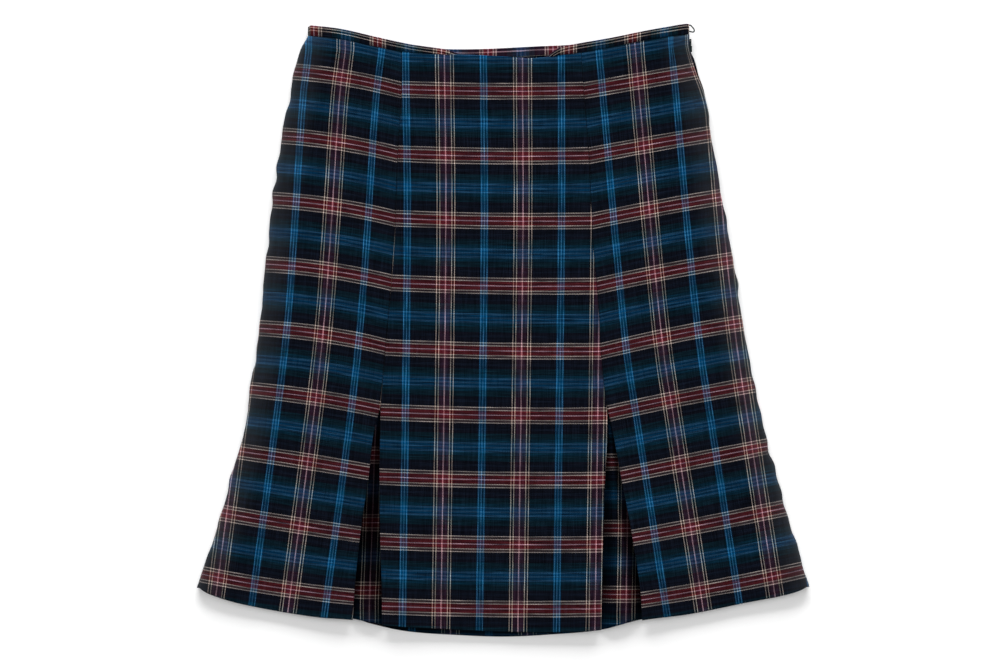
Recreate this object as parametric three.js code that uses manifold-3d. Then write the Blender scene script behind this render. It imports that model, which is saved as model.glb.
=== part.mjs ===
// Swing skirt in woven cloth, lying flat with its front up.
// Millimetres. X runs across the skirt towards the wearer's left side, Y from hem to waist, Z up.
// The origin is the middle of the outline, on the surface that the skirt lies on.
import * as THREE from 'three';
import { mergeVertices } from 'three/addons/utils/BufferGeometryUtils.js';
import Module from 'manifold-3d';

const wasm = await Module();
wasm.setup();

// ---------------------------------------------------------------- driving sizes

const CLOTH_WALL = 1.2;
const SEAM_GAP = 0.3;
const LAYER_STEP = CLOTH_WALL + SEAM_GAP;

// Middle heights of the stacked layers, from the surface up.
const BACK_HEIGHT = CLOTH_WALL / 2;
const UNDERLAY_HEIGHT = BACK_HEIGHT + LAYER_STEP;
const RETURN_HEIGHT = UNDERLAY_HEIGHT + LAYER_STEP;
const FACE_HEIGHT = RETURN_HEIGHT + LAYER_STEP;

// A panel edge that is turned under: the bend's middle radius, and how far the bend reaches.
const FOLD_RADIUS = LAYER_STEP / 2;
const FOLD_REACH = FOLD_RADIUS + CLOTH_WALL / 2;
const FOLD_STEPS = 4;

// The side edges roll down to the side seam, half way between front and back.
const ROLL_RADIUS = (FACE_HEIGHT - BACK_HEIGHT) / 2;
const ROLL_ANGLE = Math.PI / 2 - Math.asin(SEAM_GAP / 2 / (ROLL_RADIUS - CLOTH_WALL / 2));
const ROLL_LENGTH = ROLL_RADIUS * ROLL_ANGLE;
const ROLL_STEPS = 3;
const TURN_STEPS = 6;

// The face sinks a little between the edges that hold it up.
const CENTRE_SAG = 0.8;
const SIDE_SAG = 0.9;
const SAG_FULL_AT = 0.12;

// Seam allowance turned under beside each front seam, widening into the pleat's return.
const SEAM_ALLOWANCE = 11;
const PLEAT_RETURN = 36;
const PLEAT_TOP = -75;
const RETURN_WIDENS_FROM = PLEAT_TOP + 20;
const RETURN_FULL_AT = -190;
const RETURN_HEM_SHORT = 1.5;
const RETURN_WAIST_SHORT = 5;
const UNDERLAY_ABOVE_PLEAT = 16;
const UNDERLAY_INSET = 3;
const UNDERLAY_STEPS = { down: 8, across: 5 };

// The waist closure lifts the front above the hook, the eye and the zip slider.
const CLOSURE_LIFT = 2.2;
const CLOSURE_LIFT_FROM = { x: 122, y: 262 };
const CLOSURE_LIFT_FULL = { x: 162, y: 296 };

// Depth of the folded band, and how far its fold dips where it turns the corner.
const BAND_DEPTH = 9.4;
const BAND_CORNER_DROP = 1.2;

// Where the band's open ends stop beside the zip, and the last places where it follows the panels.
const BAND_END = { front: 185.4, frontNear: 182, back: 184, followsTo: 180, clearOfTurn: 2 };

const ZIP = { top: 292, bottom: 117, tapeWall: 1, tapeWidth: 14, chainInset: 1.3, chainWidth: 3 };
const ZIP_STEPS = 9;
const SIDE_SEAM_CLOSES_OVER = 26;

// Slider body, the bridge on its face and the pull tab that hangs from the bridge.
const SLIDER = {
  top: 292.2, bottom: 284.3, inner: 182.3, outer: 185.5, low: 1.5, high: 5.4, taper: 0.5, mouth: 2,
};
const SLIDER_MIDDLE = (SLIDER.low + SLIDER.high) / 2;
const BRIDGE = {
  wide: 1.2, out: 188, top: 291.3, bottom: 285.6, bar: 0.9, foot: 1.2, corner: 0.7, sunk: 0.3,
};
const PULL = {
  pinX: 186.3, pinY: 289.2, pin: 0.8, width: 3.6, end: 278.3, window: 285, windowPlay: 0.35,
  gripFrom: 284.4, gripLow: 0.1, gripHigh: 2.2, gripLap: 1, gripCorner: 1.1,
};

// Hook and eye, bent from wire and sewn down by their rings.
const WIRE = 0.8;
const WIRE_SIDES = 8;
const SEWING_RING = 0.85;
const SEWING_RING_SHARES = [0.14, 0.32, 0.5, 0.68, 0.86];
const EYE_STEPS = 44;
const HOOK_STEPS = 64;
const EYE = { ringX: 177.4, upper: 304.2, lower: 299 };
const EYE_LOOP = [
  { x: 178.4, y: 304.2 },
  { x: 184, y: 304.8 },
  { x: 186.6, y: 305 },
  { x: 189.4, y: 302.4 },
  { x: 190.8, y: 299.8 },
  { x: 190, y: 298.2 },
  { x: 187.6, y: 298.4 },
  { x: 185.2, y: 299 },
  { x: 178.4, y: 299 },
];
const HOOK = {
  ringX: 165, noseX: 173.6, noseBend: 0.6, billX: 169, billBend: 0.8, middle: 299.6, half: 0.75,
};
const LEG_BEYOND_RING = 1;

// ---------------------------------------------------------------- outline tables

// Waist seam of the front: where the body cloth ends, and how far the band's fold stands above it.
const FRONT_WAIST = [
  { x: -198, seam: 294.8, band: 10.7 },
  { x: -163, seam: 291.2, band: 10.3 },
  { x: -127, seam: 283.5, band: 9.8 },
  { x: -93, seam: 277.8, band: 8.2 },
  { x: -63, seam: 275.8, band: 5.9 },
  { x: -46, seam: 275.4, band: 3.0 },
  { x: -22, seam: 274.7, band: 1.8 },
  { x: 6, seam: 273.2, band: 1.8 },
  { x: 27, seam: 271.8, band: 1.8 },
  { x: 43, seam: 273.0, band: 2.4 },
  { x: 57, seam: 275.3, band: 7.6 },
  { x: 72, seam: 277.0, band: 9.3 },
  { x: 107, seam: 283.1, band: 9.3 },
  { x: 137, seam: 289.2, band: 9.3 },
  { x: 165, seam: 293.6, band: 9.8 },
  { x: 182, seam: 295.4, band: 10.8 },
  { x: 188, seam: 295.7, band: 10.0 },
];

const BACK_WAIST = [
  { x: -198, seam: 294.8, band: 10.7 },
  { x: -163, seam: 290.8, band: 9.8 },
  { x: -127, seam: 283.2, band: 9.6 },
  { x: -93, seam: 276.0, band: 9.8 },
  { x: -63, seam: 271.8, band: 10.0 },
  { x: -22, seam: 271.4, band: 10.2 },
  { x: 36, seam: 274.6, band: 9.8 },
  { x: 72, seam: 277.0, band: 9.2 },
  { x: 107, seam: 282.6, band: 9.2 },
  { x: 137, seam: 288.6, band: 9.2 },
  { x: 165, seam: 292.8, band: 9.4 },
  { x: 188, seam: 295.0, band: 9.4 },
];

const RIGHT_SIDE_EDGE = [
  { y: 300, x: -194.6 },
  { y: 270, x: -205.9 },
  { y: 230, x: -214.4 },
  { y: 190, x: -222.0 },
  { y: 130, x: -231.0 },
  { y: 70, x: -237.0 },
  { y: 10, x: -244.4 },
  { y: -50, x: -251.6 },
  { y: -90, x: -258.4 },
  { y: -130, x: -268.4 },
  { y: -170, x: -278.4 },
  { y: -210, x: -291.1 },
  { y: -256, x: -306.2 },
];

const LEFT_SIDE_EDGE = [
  { y: 300, front: 185.2, back: 184.9 },
  { y: 285, front: 186.0, back: 186.0 },
  { y: 270, front: 189.2, back: 191.6 },
  { y: 250, front: 195.2, back: 197.0 },
  { y: 230, front: 201.8, back: 202.0 },
  { y: 190, front: 209.0, back: 209.0 },
  { y: 130, front: 219.5, back: 219.5 },
  { y: 70, front: 230.4, back: 230.4 },
  { y: 10, front: 239.9, back: 239.9 },
  { y: -50, front: 250.1, back: 250.1 },
  { y: -90, front: 258.8, back: 258.8 },
  { y: -130, front: 269.1, back: 269.1 },
  { y: -170, front: 280.3, back: 280.3 },
  { y: -210, front: 292.1, back: 292.1 },
  { y: -256, front: 306.4, back: 306.4 },
];

// Front seams down to the top of each pleat. Below it, the centre panel and the side panel part.
const RIGHT_FRONT_SEAM = [
  { y: 290, x: -101.2 },
  { y: 241, x: -102.0 },
  { y: 178, x: -105.7 },
  { y: 117, x: -107.5 },
  { y: 83, x: -108.9 },
  { y: 30, x: -113.4 },
  { y: -17, x: -117.9 },
  { y: -68, x: -122.2 },
  { y: PLEAT_TOP, x: -122.8 },
];
const RIGHT_PLEAT = [
  { y: -106, centre: -123.4, side: -130.2 },
  { y: -146, centre: -123.9, side: -134.6 },
  { y: -196, centre: -123.6, side: -141.9 },
  { y: -257, centre: -121.8, side: -148.4 },
  { y: -300, centre: -121.3, side: -150.8 },
];

const LEFT_FRONT_SEAM = [
  { y: 290, x: 77.0 },
  { y: 241, x: 80.3 },
  { y: 175, x: 85.4 },
  { y: 110, x: 88.5 },
  { y: 74, x: 90.6 },
  { y: 36, x: 94.3 },
  { y: -21, x: 97.7 },
  { y: -60, x: 101.0 },
  { y: PLEAT_TOP, x: 103.2 },
];
const LEFT_PLEAT = [
  { y: -100, centre: 104.2, side: 109.0 },
  { y: -143, centre: 102.0, side: 116.8 },
  { y: -198, centre: 100.0, side: 127.2 },
  { y: -263, centre: 98.4, side: 137.0 },
  { y: -305, centre: 98.0, side: 138.6 },
];

const FRONT_HEM = [
  { x: -306, y: -255.5 },
  { x: -298, y: -261.5 },
  { x: -285, y: -266.8 },
  { x: -265, y: -272.6 },
  { x: -225, y: -280.6 },
  { x: -185, y: -286.6 },
  { x: -150, y: -289.3 },
  { x: -121, y: -294.4 },
  { x: -63, y: -298.2 },
  { x: -3, y: -300.8 },
  { x: 47, y: -301.6 },
  { x: 98, y: -299.2 },
  { x: 138, y: -289.7 },
  { x: 185, y: -283.6 },
  { x: 245, y: -271.6 },
  { x: 275, y: -265.9 },
  { x: 295, y: -260.5 },
  { x: 306, y: -254.7 },
];

const BACK_HEM = [
  { x: -306, y: -254.7 },
  { x: -285, y: -265.3 },
  { x: -225, y: -279.1 },
  { x: -150, y: -287.9 },
  { x: -133, y: -293.2 },
  { x: -97, y: -300.9 },
  { x: -44, y: -304.8 },
  { x: 3, y: -306.25 },
  { x: 45, y: -304.3 },
  { x: 97, y: -299.6 },
  { x: 138, y: -289.1 },
  { x: 185, y: -282.4 },
  { x: 245, y: -270.4 },
  { x: 306, y: -253.9 },
];

// ---------------------------------------------------------------- small helpers

const mix = (from, to, part) => from + (to - from) * part;

// Eased step from 0 at one value to 1 at another.
function ease(from, to, at) {
  const part = Math.min(Math.max((at - from) / (to - from), 0), 1);
  return part * part * (3 - 2 * part);
}

// Evenly spaced parts from 0 to 1.
const evenly = (count) => Array.from({ length: count + 1 }, (_, step) => step / count);

// Smooth curve through table rows: reads the `across` column at any place along the `along` column.
function curveThrough(rows, along, across) {
  const ordered = [...rows].sort((a, b) => a[along] - b[along]);
  const places = ordered.map((row) => row[along]);
  const values = ordered.map((row) => row[across]);
  const last = ordered.length - 1;
  const slopeAt = (knot) => {
    const before = Math.max(knot - 1, 0);
    const after = Math.min(knot + 1, last);
    return (values[after] - values[before]) / (places[after] - places[before]);
  };
  return (at) => {
    const next = places.findIndex((place) => place > at);
    const right = next < 0 ? last : Math.max(next, 1);
    const left = right - 1;
    const span = places[right] - places[left];
    const part = Math.min(Math.max((at - places[left]) / span, 0), 1);
    const square = part * part;
    const cube = square * part;
    return values[left] * (2 * cube - 3 * square + 1)
      + values[right] * (3 * square - 2 * cube)
      + slopeAt(left) * span * (cube - 2 * square + part)
      + slopeAt(right) * span * (cube - square);
  };
}

// Where an upright edge x = edge(y) crosses a level line y = line(x), closing in pass by pass.
const CORNER_PASSES = 12;
function cornerOf(edge, line) {
  let y = line(edge(0));
  for (let pass = 0; pass < CORNER_PASSES; pass += 1) {
    y = line(edge(y));
  }
  return new THREE.Vector2(edge(y), y);
}

// ---------------------------------------------------------------- solids

// Turns the faces of a closed mesh outwards if its volume comes out negative.
function facingOut(geometry) {
  const place = geometry.getAttribute('position');
  const index = geometry.getIndex();
  const [a, b, c] = [new THREE.Vector3(), new THREE.Vector3(), new THREE.Vector3()];
  let volume = 0;
  for (let corner = 0; corner < index.count; corner += 3) {
    a.fromBufferAttribute(place, index.getX(corner));
    b.fromBufferAttribute(place, index.getX(corner + 1));
    c.fromBufferAttribute(place, index.getX(corner + 2));
    volume += a.dot(b.cross(c));
  }
  if (volume < 0) {
    index.array.reverse();
  }
  geometry.computeVertexNormals();
  return geometry;
}

// Closed wall of cloth. Each row of the grid is one section of { at, out }:
// a point half way through the wall, and the unit direction towards the cloth's right side.
function clothWall(grid, wall = CLOTH_WALL) {
  const rows = grid.length;
  const columns = grid[0].length;
  const positions = [];
  for (const side of [wall / 2, -wall / 2]) {
    for (const section of grid) {
      for (const { at, out } of section) {
        positions.push(at.x + out.x * side, at.y + out.y * side, at.z + out.z * side);
      }
    }
  }
  const outer = (row, column) => row * columns + column;
  const inner = (row, column) => rows * columns + outer(row, column);
  const triangles = [];
  const quad = (a, b, c, d) => triangles.push(a, b, c, a, c, d);
  for (let row = 0; row < rows - 1; row += 1) {
    for (let column = 0; column < columns - 1; column += 1) {
      quad(outer(row, column), outer(row, column + 1), outer(row + 1, column + 1), outer(row + 1, column));
      quad(inner(row, column), inner(row + 1, column), inner(row + 1, column + 1), inner(row, column + 1));
    }
    quad(outer(row, 0), outer(row + 1, 0), inner(row + 1, 0), inner(row, 0));
    const end = columns - 1;
    quad(outer(row, end), inner(row, end), inner(row + 1, end), outer(row + 1, end));
  }
  for (let column = 0; column < columns - 1; column += 1) {
    quad(outer(0, column), inner(0, column), inner(0, column + 1), outer(0, column + 1));
    const end = rows - 1;
    quad(outer(end, column), outer(end, column + 1), inner(end, column + 1), inner(end, column));
  }
  const geometry = new THREE.BufferGeometry();
  geometry.setAttribute('position', new THREE.Float32BufferAttribute(positions, 3));
  geometry.setIndex(triangles);
  return facingOut(geometry);
}

// Round wire along hand-placed points.
function wireAlong(points, steps) {
  const route = new THREE.CatmullRomCurve3(points, false, 'centripetal');
  const section = new THREE.Shape(
    evenly(WIRE_SIDES).slice(1).map((part) => new THREE.Vector2(
      (WIRE / 2) * Math.cos(part * 2 * Math.PI),
      (WIRE / 2) * Math.sin(part * 2 * Math.PI),
    )),
  );
  return new THREE.ExtrudeGeometry(section, { steps, extrudePath: route, bevelEnabled: false });
}

// Plate with an outline in Y and Z, its faces square to X.
function uprightPlate(outline, fromX, toX, hole = null) {
  const shape = new THREE.Shape(outline.map(([y, z]) => new THREE.Vector2(y, z)));
  if (hole) {
    shape.holes.push(new THREE.Path(hole.map(([y, z]) => new THREE.Vector2(y, z))));
  }
  const plate = new THREE.ExtrudeGeometry(shape, { depth: toX - fromX, bevelEnabled: false });
  plate.applyMatrix4(new THREE.Matrix4().set(0, 0, 1, fromX, 1, 0, 0, 0, 0, 1, 0, 0, 0, 0, 0, 1));
  return plate;
}

function toManifold(geometry) {
  const bare = geometry.clone();
  bare.deleteAttribute('normal');
  bare.deleteAttribute('uv');
  const merged = mergeVertices(bare, 1e-4);
  return new wasm.Manifold(new wasm.Mesh({
    numProp: 3,
    vertProperties: new Float32Array(merged.getAttribute('position').array),
    triVerts: new Uint32Array(merged.getIndex().array),
  }));
}

function joined(geometries) {
  const whole = geometries.map(toManifold).reduce((sum, piece) => sum.add(piece)).getMesh();
  const geometry = new THREE.BufferGeometry();
  geometry.setAttribute('position', new THREE.Float32BufferAttribute(whole.vertProperties, 3));
  geometry.setIndex([...whole.triVerts]);
  return facingOut(geometry);
}

// ---------------------------------------------------------------- outline curves

const frontSeamLine = curveThrough(FRONT_WAIST, 'x', 'seam');
const backSeamLine = curveThrough(BACK_WAIST, 'x', 'seam');
const frontHemLine = curveThrough(FRONT_HEM, 'x', 'y');
const backHemLine = curveThrough(BACK_HEM, 'x', 'y');
const rightSideLine = curveThrough(RIGHT_SIDE_EDGE, 'y', 'x');
const leftSideLine = curveThrough(LEFT_SIDE_EDGE, 'y', 'front');
const leftBackSideLine = curveThrough(LEFT_SIDE_EDGE, 'y', 'back');

// One panel's edge along a front seam and then down its side of the pleat.
function seamEdge(seam, pleat, panel, shift) {
  const below = pleat.map((row) => ({ y: row.y, x: row[panel] }));
  const line = curveThrough([...seam, ...below], 'y', 'x');
  return (y) => line(y) + shift;
}

const rightSeam = {
  centre: seamEdge(RIGHT_FRONT_SEAM, RIGHT_PLEAT, 'centre', SEAM_GAP / 2),
  side: seamEdge(RIGHT_FRONT_SEAM, RIGHT_PLEAT, 'side', -SEAM_GAP / 2),
};
const leftSeam = {
  centre: seamEdge(LEFT_FRONT_SEAM, LEFT_PLEAT, 'centre', -SEAM_GAP / 2),
  side: seamEdge(LEFT_FRONT_SEAM, LEFT_PLEAT, 'side', SEAM_GAP / 2),
};

// Lift of the front near the waist closure.
function closureLift(x, y) {
  const across = ease(CLOSURE_LIFT_FROM.x, CLOSURE_LIFT_FULL.x, x);
  const along = ease(CLOSURE_LIFT_FROM.y, CLOSURE_LIFT_FULL.y, y);
  return CLOSURE_LIFT * across * along;
}

// How far the left side seam is closed: 0 along the zip, 1 below it.
const seamClosed = (y) => 1 - ease(ZIP.bottom - SIDE_SEAM_CLOSES_OVER, ZIP.bottom, y);

// Width of cloth turned under beside a front seam, at a height.
const returnWidth = (y) => mix(PLEAT_RETURN, SEAM_ALLOWANCE, ease(RETURN_FULL_AT, RETURN_WIDENS_FROM, y));

// ---------------------------------------------------------------- panels

// A panel between two upright edges, a waist line and a hem line, read by its share across and down.
class Panel {
  constructor({ left, right, top, hem, sag = 0, lift = () => 0, height = FACE_HEIGHT }) {
    Object.assign(this, { left, right, top, hem, sag, lift, height });
    this.corners = {
      topLeft: cornerOf(left, top),
      topRight: cornerOf(right, top),
      hemLeft: cornerOf(left, hem),
      hemRight: cornerOf(right, hem),
    };
  }

  // Point on the panel: `across` from 0 at the left edge to 1 at the right, `down` from waist to hem.
  point(across, down) {
    const { topLeft, topRight, hemLeft, hemRight } = this.corners;
    const leftY = mix(topLeft.y, hemLeft.y, down);
    const rightY = mix(topRight.y, hemRight.y, down);
    const topBow = this.top(mix(topLeft.x, topRight.x, across)) - mix(topLeft.y, topRight.y, across);
    const hemBow = this.hem(mix(hemLeft.x, hemRight.x, across)) - mix(hemLeft.y, hemRight.y, across);
    const x = mix(this.left(leftY), this.right(rightY), across);
    const y = mix(leftY, rightY, across) + (1 - down) * topBow + down * hemBow;
    const hollow = Math.sin(Math.PI * across) ** 2 * ease(0, SAG_FULL_AT, down);
    return new THREE.Vector3(x, y, this.height - this.sag * hollow + this.lift(x, y));
  }

  width(down) {
    return this.point(1, down).x - this.point(0, down).x;
  }

  // The panel's point a distance in from one edge; `inward` is 1 from the left edge, -1 from the right.
  inFrom(inward, distance, down) {
    const share = distance / this.width(down);
    return this.point(inward > 0 ? share : 1 - share, down);
  }
}

const UP = new THREE.Vector3(0, 0, 1);
const DOWN = new THREE.Vector3(0, 0, -1);

// Section of an edge that is turned under, from the inner end of the return to the face.
function turnedEdge(panel, inward, down) {
  const edge = panel.inFrom(inward, 0, down);
  const depth = returnWidth(edge.y);
  const trim = mix(-RETURN_WAIST_SHORT, RETURN_HEM_SHORT, down);
  const section = [1, 0.5].map((share) => {
    const at = panel.inFrom(inward, mix(FOLD_REACH, depth, share), down);
    at.y += trim;
    at.z = edge.z - LAYER_STEP;
    return { at, out: DOWN };
  });
  const turnCentre = panel.inFrom(inward, FOLD_REACH, down);
  for (const share of evenly(FOLD_STEPS)) {
    const angle = mix(-Math.PI / 2, Math.PI / 2, share);
    const out = new THREE.Vector3(-inward * Math.cos(angle), 0, Math.sin(angle));
    const at = turnCentre.clone();
    at.z = edge.z - FOLD_RADIUS;
    at.addScaledVector(out, FOLD_RADIUS);
    at.y += trim * (1 - share);
    section.push({ at, out });
  }
  return section;
}

// Section of a side edge that rolls away from its panel, from the seam to the panel.
// `closed` is 0 where the edge lies flat and 1 where it rolls right down to the side seam.
function rolledEdge(panel, inward, down, closed, up) {
  const flat = Math.max(closed, 1e-3);
  const angleEnd = ROLL_ANGLE * flat;
  const radius = ROLL_LENGTH / angleEnd;
  const reach = (radius + CLOTH_WALL / 2) * Math.sin(angleEnd);
  return evenly(ROLL_STEPS).map((share) => {
    const angle = angleEnd * (1 - share);
    const at = panel.inFrom(inward, reach, down);
    at.x -= inward * radius * Math.sin(angle);
    at.z -= up * radius * (1 - Math.cos(angle));
    return { at, out: new THREE.Vector3(-inward * Math.sin(angle), 0, up * Math.cos(angle)) };
  });
}

// Section of the flat part of a panel between two distances in from its edges.
function flatPart(panel, fromLeft, fromRight, shares, down, out) {
  const width = panel.width(down);
  return shares.map((share) => ({
    at: panel.point(mix(fromLeft / width, 1 - fromRight / width, share), down),
    out,
  }));
}

const DOWN_STATIONS = [
  0, 0.04, 0.09, 0.16, 0.24, 0.325, 0.38, 0.46, 0.54, 0.6, 0.65, 0.7, 0.77, 0.84, 0.91, 0.96, 1,
];
const ACROSS_CENTRE = [0.09, 0.22, 0.36, 0.5, 0.62, 0.74, 0.83, 0.91];
const ACROSS_SIDE = [0.06, 0.18, 0.34, 0.5, 0.66, 0.82, 0.94];
const ACROSS_BACK = [0.05, 0.12, 0.2, 0.28, 0.36, 0.44, 0.52, 0.6, 0.68, 0.76, 0.84, 0.92];

const centrePanel = new Panel({
  left: rightSeam.centre, right: leftSeam.centre, top: frontSeamLine, hem: frontHemLine, sag: CENTRE_SAG,
});
const rightSidePanel = new Panel({
  left: rightSideLine, right: rightSeam.side, top: frontSeamLine, hem: frontHemLine, sag: SIDE_SAG,
});
const leftSidePanel = new Panel({
  left: leftSeam.side, right: leftSideLine, top: frontSeamLine, hem: frontHemLine,
  sag: SIDE_SAG, lift: closureLift,
});
const backPanel = new Panel({
  left: rightSideLine, right: leftBackSideLine, top: backSeamLine, hem: backHemLine, height: BACK_HEIGHT,
});

// The flat part of each panel, without its turned or rolled edges.
const centreFlat = (down) => flatPart(centrePanel, FOLD_REACH, FOLD_REACH, ACROSS_CENTRE, down, UP);
const rightSideFlat = (down) => flatPart(rightSidePanel, ROLL_RADIUS, FOLD_REACH, ACROSS_SIDE, down, UP);
const leftSideFlat = (down) => flatPart(leftSidePanel, FOLD_REACH, ROLL_LENGTH, ACROSS_SIDE, down, UP);
const backFlat = (down) => flatPart(backPanel, ROLL_RADIUS, ROLL_LENGTH, ACROSS_BACK, down, DOWN);

function centreFront() {
  return clothWall(DOWN_STATIONS.map((down) => [
    ...turnedEdge(centrePanel, 1, down),
    ...centreFlat(down),
    ...turnedEdge(centrePanel, -1, down).reverse(),
  ]));
}

function rightSideFront() {
  return clothWall(DOWN_STATIONS.map((down) => [
    ...rolledEdge(rightSidePanel, 1, down, 1, 1),
    ...rightSideFlat(down),
    ...turnedEdge(rightSidePanel, -1, down).reverse(),
  ]));
}

function leftSideFront() {
  return clothWall(DOWN_STATIONS.map((down) => {
    const closed = seamClosed(leftSidePanel.point(1, down).y);
    return [
      ...turnedEdge(leftSidePanel, 1, down),
      ...leftSideFlat(down),
      ...rolledEdge(leftSidePanel, -1, down, closed, 1).reverse(),
    ];
  }));
}

function backOfSkirt() {
  return clothWall(DOWN_STATIONS.map((down) => {
    const closed = seamClosed(backPanel.point(1, down).y);
    return [
      ...rolledEdge(backPanel, 1, down, 1, -1),
      ...backFlat(down),
      ...rolledEdge(backPanel, -1, down, closed, -1).reverse(),
    ];
  }));
}

// Underlay behind a pleat, from under one return to under the other.
function pleatUnderlay(leftEdge, rightEdge) {
  const top = PLEAT_TOP + UNDERLAY_ABOVE_PLEAT;
  const panel = new Panel({
    left: (y) => leftEdge(y) - returnWidth(y) + UNDERLAY_INSET,
    right: (y) => rightEdge(y) + returnWidth(y) - UNDERLAY_INSET,
    top: () => top,
    hem: (x) => frontHemLine(x) + RETURN_HEM_SHORT / 2,
    height: UNDERLAY_HEIGHT,
  });
  const columns = evenly(UNDERLAY_STEPS.across);
  return clothWall(evenly(UNDERLAY_STEPS.down).map((down) => flatPart(panel, 0, 0, columns, down, UP)));
}

// ---------------------------------------------------------------- waistband

// The band is one strip folded along its top edge. It runs along the front, turns the right side
// and runs back along the back. Each station gives the strip's middle and the side that faces out.
function bandStations() {
  const frontMiddle = FACE_HEIGHT - LAYER_STEP / 2;
  const backMiddle = BACK_HEIGHT + LAYER_STEP / 2;
  const turn = (frontMiddle - backMiddle) / 2;
  const turnX = rightSideLine(FRONT_WAIST[0].seam) + turn + FOLD_REACH;
  const frontBand = curveThrough(FRONT_WAIST, 'x', 'band');
  const backBand = curveThrough(BACK_WAIST, 'x', 'band');
  const stations = [];
  const follows = (x) => x > turnX + BAND_END.clearOfTurn && x < BAND_END.followsTo;
  const waistPlaces = (sections) => sections.flat().map(({ at }) => at.x).filter(follows);
  const frontColumns = waistPlaces([rightSideFlat(0), centreFlat(0), leftSideFlat(0)]).reverse();
  for (const x of [BAND_END.front, BAND_END.frontNear, ...frontColumns]) {
    const seam = frontSeamLine(x);
    const lift = closureLift(x, CLOSURE_LIFT_FULL.y);
    stations.push({ x, z: frontMiddle + lift, out: UP, seam, band: frontBand(x) });
  }
  for (const share of evenly(TURN_STEPS)) {
    const angle = Math.PI * share;
    const out = new THREE.Vector3(-Math.sin(angle), 0, Math.cos(angle));
    const x = turnX + out.x * turn;
    stations.push({
      x,
      z: (frontMiddle + backMiddle) / 2 + out.z * turn,
      out,
      seam: mix(frontSeamLine(turnX), backSeamLine(turnX), share),
      band: mix(frontBand(turnX), backBand(turnX), share) - BAND_CORNER_DROP * Math.sin(angle),
    });
  }
  for (const x of [...waistPlaces([backFlat(0)]), BAND_END.back]) {
    stations.push({ x, z: backMiddle, out: DOWN, seam: backSeamLine(x), band: backBand(x) });
  }
  return stations;
}

// Section of the folded strip: up the outside, over the fold, and down the inside.
function bandSection({ x, z, out, seam, band }) {
  const foldCentre = seam + band - FOLD_REACH;
  const outside = [0, 0.5].map((share) => (
    { y: mix(seam + SEAM_GAP, foldCentre, share), off: 1, rise: 0 }
  ));
  const fold = evenly(FOLD_STEPS).map((share) => {
    const angle = Math.PI * share;
    return { y: foldCentre + FOLD_RADIUS * Math.sin(angle), off: Math.cos(angle), rise: Math.sin(angle) };
  });
  const inside = [0.5, 1].map((share) => (
    { y: foldCentre - (BAND_DEPTH - FOLD_REACH) * share, off: -1, rise: 0 }
  ));
  return [...outside, ...fold, ...inside].map(({ y, off, rise }) => {
    const at = new THREE.Vector3(x, y, z).addScaledVector(out, FOLD_RADIUS * off);
    return { at, out: new THREE.Vector3(out.x * off, rise, out.z * off) };
  });
}

const waistband = () => clothWall(bandStations().map(bandSection));

// ---------------------------------------------------------------- zip

// Heights down the side edge: the chain runs from under the slider, the tapes start at the waist.
const chainStations = evenly(ZIP_STEPS).map((share) => mix(SLIDER.bottom - SEAM_GAP, ZIP.bottom, share));
const tapeStations = [ZIP.top, ...chainStations];

// One zip tape, laid against the cloth it is sewn to.
function zipTape(heightAt) {
  return clothWall(tapeStations.map((y) => {
    const outerX = leftSideLine(y) - ZIP.chainInset - ZIP.chainWidth - SEAM_GAP;
    return [outerX - ZIP.tapeWidth, outerX - ZIP.tapeWidth / 2, outerX].map((x) => ({
      at: new THREE.Vector3(x, y, heightAt(x, y)),
      out: UP,
    }));
  }), ZIP.tapeWall);
}

const TAPE_STEP = CLOTH_WALL / 2 + SEAM_GAP + ZIP.tapeWall / 2;
const zipTapeFront = () => zipTape((x, y) => {
  const across = (x - leftSeam.side(y)) / (leftSideLine(y) - leftSeam.side(y));
  return FACE_HEIGHT - SIDE_SAG * Math.sin(Math.PI * across) ** 2 + closureLift(x, y) - TAPE_STEP;
});
const zipTapeBack = () => zipTape(() => BACK_HEIGHT + TAPE_STEP);

// Closed teeth as one bar between the tapes, following the side edge.
function zipChain() {
  const low = BACK_HEIGHT + CLOTH_WALL / 2 + SEAM_GAP;
  const high = FACE_HEIGHT - CLOTH_WALL / 2 - SEAM_GAP;
  return clothWall(chainStations.map((y) => {
    const outerX = leftSideLine(y) - ZIP.chainInset;
    return [outerX - ZIP.chainWidth, outerX].map((x) => ({
      at: new THREE.Vector3(x, y, (low + high) / 2),
      out: UP,
    }));
  }), high - low);
}

// Slider body, a wedge that is wider at its top, with the bridge that holds the pull.
function zipSlider() {
  const body = uprightPlate([
    [SLIDER.bottom, SLIDER.low + SLIDER.taper],
    [SLIDER.top - SLIDER.mouth, SLIDER.low],
    [SLIDER.top, SLIDER.low],
    [SLIDER.top, SLIDER.high],
    [SLIDER.top - SLIDER.mouth, SLIDER.high],
    [SLIDER.bottom, SLIDER.high - SLIDER.taper],
  ], SLIDER.inner, SLIDER.outer);
  const { out, top, bottom, bar, foot, wide, corner } = BRIDGE;
  const sunk = SLIDER.outer - BRIDGE.sunk;
  const arch = new THREE.Shape([
    [sunk, bottom], [out - corner, bottom], [out, bottom + corner],
    [out, top - corner], [out - corner, top], [sunk, top],
    [sunk, top - foot], [out - bar, top - foot], [out - bar, bottom + foot], [sunk, bottom + foot],
  ].map(([x, y]) => new THREE.Vector2(x, y)));
  const bridge = new THREE.ExtrudeGeometry(arch, { depth: wide, bevelEnabled: false });
  bridge.translate(0, 0, SLIDER_MIDDLE - wide / 2);
  return joined([body, bridge]);
}

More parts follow.
